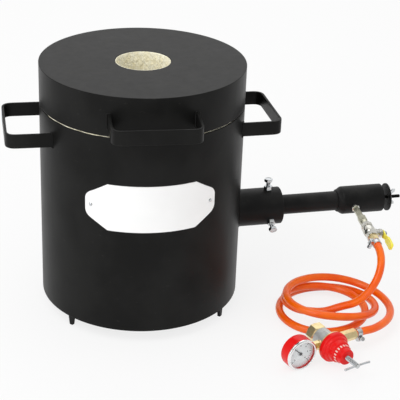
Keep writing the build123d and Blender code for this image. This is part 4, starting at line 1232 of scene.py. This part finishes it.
@dataclass
class Regulator(Assembly):
    """The pressure regulator with its gauge, lying on the floor."""

    kept = ((BRASS, "inlet_nipple"), (BLACK_RUBBER, "diaphragm"), (ZINC, "spring_seat"),
            (DIAL_WHITE, "gauge_dial"), (MARK_BLACK, "gauge_needle"), (GLASS, "gauge_lens"))
    gauge: float = 26.6
    marks: int = 31
    first_mark: float = 225.0
    sweep: float = 270.0

    def build(self) -> list:
        """Make every shown piece of the regulator and gauge.

        Returns:
            The new pieces.
        """
        made = [self.body(), self.collar(), self.inlet(), self.cap(), self.ribs(), self.spring(), *self.tee()]
        tail = turned("tail", ((54, 1.6), (54, 3.1), (66, 3.1), (66, 1.6)), PORT_SPOT, 0.3, 32)
        parts = (nut("hex", PORT_SPOT, 17.0, 54.4, 16.0, 1.6), tail)
        made.append(self.put(gather("outlet_tail", parts), BRASS, "outlet_barb"))
        return made + self.gauge_pieces()

    def body(self) -> Thing:
        """The brass body: a turned barrel and flange, with a boss for each side port.

        Returns:
            The piece.
        """
        barrel = ((-20, 3), (-20, 12.2), (-19, 13), (-8, 13), (6.4, 13), (8.4, 17), (8.4, 24), (10.4, 24),
                  (10.4, 3))
        boss = ((-17, 3), (-17, 6.8), (-16.2, 7.5), (16.2, 7.5), (17, 6.8), (17, 3))
        parts = turned("barrel", barrel, REG_SPOT, 0.5, 96), turned("boss", boss, PORT_SPOT, 0.4, 64)
        return self.put(gather("body_casting", parts), BRASS, "regulator_body")

    def collar(self) -> Thing:
        """The grey collar, with fine grip flutes: radius falls by 0.25 mm times a cosine, 72 times round.

        Returns:
            The piece.
        """
        outline = softened(((-20, 13.02), (-20, 15.4), (-19, 16.2), (5, 16.2), (6, 15.4), (6, 13.02)), 0.3)
        angle = circle(576)[None]
        radius = outline[:, 1:] - 0.25 * (1 - np.cos(angle * 72)) / 2 * (outline[:, 1:] > 15.8)
        piece = skin("grip_collar", REG_SPOT.polar(radius, angle, outline[:, :1]))
        return self.put(piece, COLLAR_GREY, "body_collar")

    def inlet(self) -> Thing:
        """The inlet's hexagon: chamfered outside, with ridges for its thread inside.

        Returns:
            The piece.
        """
        ridges = [(-37.2 + 0.9 * step, 10.2 + 0.55 * (step % 2)) for step in range(11, -1, -1)]
        corners = [(-38, 14.6), (-36.6, 17.3), (-22.4, 17.3), (-20.4, 14.4), (-20.4, 6.6), (-23.6, 6.6),
                   (-23.6, 11.2), (-26.8, 11.2), *ridges, (-38, 11.0)]
        piece = turned("inlet_hex", corners, REG_SPOT, 0.12, 96, 30.0)
        return self.put(piece, BRASS, "inlet_nut", body=Body.SWIVEL)

    def cap(self) -> Thing:
        """The red bonnet's stepped dome.

        Returns:
            The piece.
        """
        corners = ((11.4, 15), (11.4, 24.4), (12.3, 25.2), (18.4, 25.2), (20.2, 24.1), (21, 22.2), (24, 21.3),
                   (25.6, 19.9), (26, 18.7), (33.8, 17.9), (35.2, 15.6), (36, 15.3), (41.8, 14.6), (42.8, 13.5),
                   (50.2, 12.9), (51.5, 11.8), (51.5, 4.05), (46, 4.05), (44, 9.5), (33.5, 11.5), (32, 15))
        return self.put(turned("bonnet_dome", corners, REG_SPOT, 0.7, 96), GLOSS_RED, "bonnet")

    def ribs(self) -> Thing:
        """Eighteen short grip ribs round the bonnet, painted pale all over.

        Returns:
            The piece.
        """
        along, narrowed = np.array((36.6, 37.1, 40.6, 41.1)), np.array((0.7, 1, 1, 0.7))
        parts = []
        for turn in np.radians(np.arange(0, 360, 20) + 6):
            way = REG_SPOT.across * cos(turn) + REG_SPOT.up * sin(turn)
            path = REG_SPOT.origin + way * 15.1 + along[:, None] * REG_DIR
            parts.append(swept("rib", path, oblong(2.4, 1.2, 0.5), way, narrowed))
        return self.put(gather("bonnet_ribs", parts), PALE_RIB)

    def spring(self) -> Thing:
        """The hidden pressure spring: a helix of five turns.

        Returns:
            The piece.
        """
        turn = np.linspace(0, 5 * tau, 5 * 28)
        path = REG_SPOT.polar(8.8, turn, 13.0 + 8.9 * turn / turn[-1])
        return self.put(swept("pressure_coil", path, ring(1.1, 10), REG_DIR), ZINC, "regulator_spring")

    def tee(self) -> list:
        """The adjusting screw and its cross bar with swollen ends.

        Returns:
            Both pieces.
        """
        screw = threaded("setting_screw", REG_SPOT, 31.8, 79.4, 4.0, 1.25)
        ends = np.array((0.95, 0.98, 0.995, 1.0))
        share = np.concatenate((-ends[::-1], np.linspace(-0.9, 0.9, 25), ends))
        rounded = np.sqrt(np.clip(1 - np.clip((np.abs(share) - 0.93) / 0.07, 0, 1) ** 2, 0.02, 1))
        path = REG_SPOT.at(24.9 * share, 0.0, 76.0 + 1.1 * share ** 2 - 0.5 * share)
        bar = swept("cross_bar", path, ring(1.85, 16), UPWARD, rounded * (1 + 0.18 * share ** 4))
        return [self.put(screw, ZINC, "adjusting_screw", body=Body.TEE),
                self.put(bar, ZINC, "tee_bar", body=Body.TEE)]

    def gauge_pieces(self) -> list:
        """The gauge's case, bezel, stem and dial marks.

        Returns:
            The new pieces.
        """
        wide = self.gauge
        case = ((-9.5, 0), (-9.5, wide - 3), (-8.1, wide - 0.8), (-5.5, wide), (11, wide), (11, wide - 1.6),
                (-7.5, wide - 1.6), (-7.9, wide - 3), (-7.9, 0))
        rim = ((11, wide - 1.6), (11, wide), (13.5, wide), (15, wide - 1.4), (15, wide - 3.6), (13.4, wide - 3.6),
               (13.4, wide - 1.6))
        stem = nut("gauge_hex", PORT_SPOT, -35.6, -17.0, 13.0, 1.6)
        return [self.put(turned("gauge_cup", case, GAUGE_SPOT, 0.8, 128), GLOSS_RED, "gauge_case"),
                self.put(turned("gauge_rim", rim, GAUGE_SPOT, 0.5, 128), CHROME, "gauge_bezel"),
                self.put(stem, BRASS, "gauge_stem"),
                self.put(gather("dial_marks", [self.ticks(), *self.numbers()]), MARK_BLACK)]

    def ticks(self) -> Thing:
        """The dial's marks: thin bars from radius r to 22 mm over 270 degrees, each fifth one long.

        Returns:
            All the marks as one object.
        """
        turn = np.radians(self.first_mark - self.sweep * np.arange(self.marks) / (self.marks - 1))[:, None]
        main = (np.arange(self.marks) % 5 == 0)[:, None]
        half, inner = np.where(main, 0.42, 0.2), np.where(main, 17.6, 19.6)
        outer = np.full_like(inner, 22)
        reach = np.concatenate((inner, inner, outer, outer), 1)
        aside = np.concatenate((-half, half, half, -half), 1)
        x, y = reach * np.cos(turn) - aside * np.sin(turn), reach * np.sin(turn) + aside * np.cos(turn)
        levels = np.concatenate([GAUGE_SPOT.at(x, y, level)[:, None] for level in (6.75, 6.95)], 1)
        box = np.array(((0, 1, 2, 3), (7, 6, 5, 4), (0, 4, 5, 1), (1, 5, 6, 2), (2, 6, 7, 3), (3, 7, 4, 0)))
        faces = (box[None] + 8 * np.arange(self.marks)[:, None, None]).reshape(-1, 4)
        mesh = bpy.data.meshes.new("ticks")
        mesh.from_pydata((levels.reshape(-1, 3) * MM).tolist(), [], faces.tolist())
        return settle("ticks", mesh)

    def numbers(self) -> list:
        """The dial's plain numbers, 0 to 6.

        Returns:
            Seven objects.
        """
        axes = Matrix((GAUGE_SPOT.across, GAUGE_SPOT.up, GAUGE_SPOT.along)).transposed().to_4x4()
        parts = []
        for number in range(7):
            angle = radians(self.first_mark - self.sweep / 6 * number)
            text = bpy.data.curves.new("number", "FONT")
            text.body, text.size, text.extrude = str(number), 4.6 * MM, 0.08 * MM
            text.align_x, text.align_y = "CENTER", "CENTER"
            holder = bpy.data.objects.new("number", text)
            mesh = bpy.data.meshes.new_from_object(holder)
            bpy.data.objects.remove(holder)
            place = GAUGE_SPOT.at(14.0 * cos(angle), 14.0 * sin(angle), 6.9)
            mesh.transform(Matrix.Translation(place * MM) @ axes)
            parts.append(settle("number", mesh))
        return parts


def main() -> None:
    """Build the studio and each part of the furnace in order."""
    logging.basicConfig(level=logging.INFO, format="%(message)s")
    Studio().build()
    hose_line, regulator = Hose(), Regulator()
    hose = hose_line.build()
    for part in (Drum(), Lid(), Burner(), GasLine()):
        part.build()
        part.dress()
    on_hose = [*Clamps().build(), *regulator.build()]
    regulator.dress()
    kept = [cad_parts[name] for _, *names in Regulator.kept for name in names]
    hose_line.declare(hose, [*on_hose, *kept])
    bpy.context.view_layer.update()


if __name__ == "__main__":
    main()
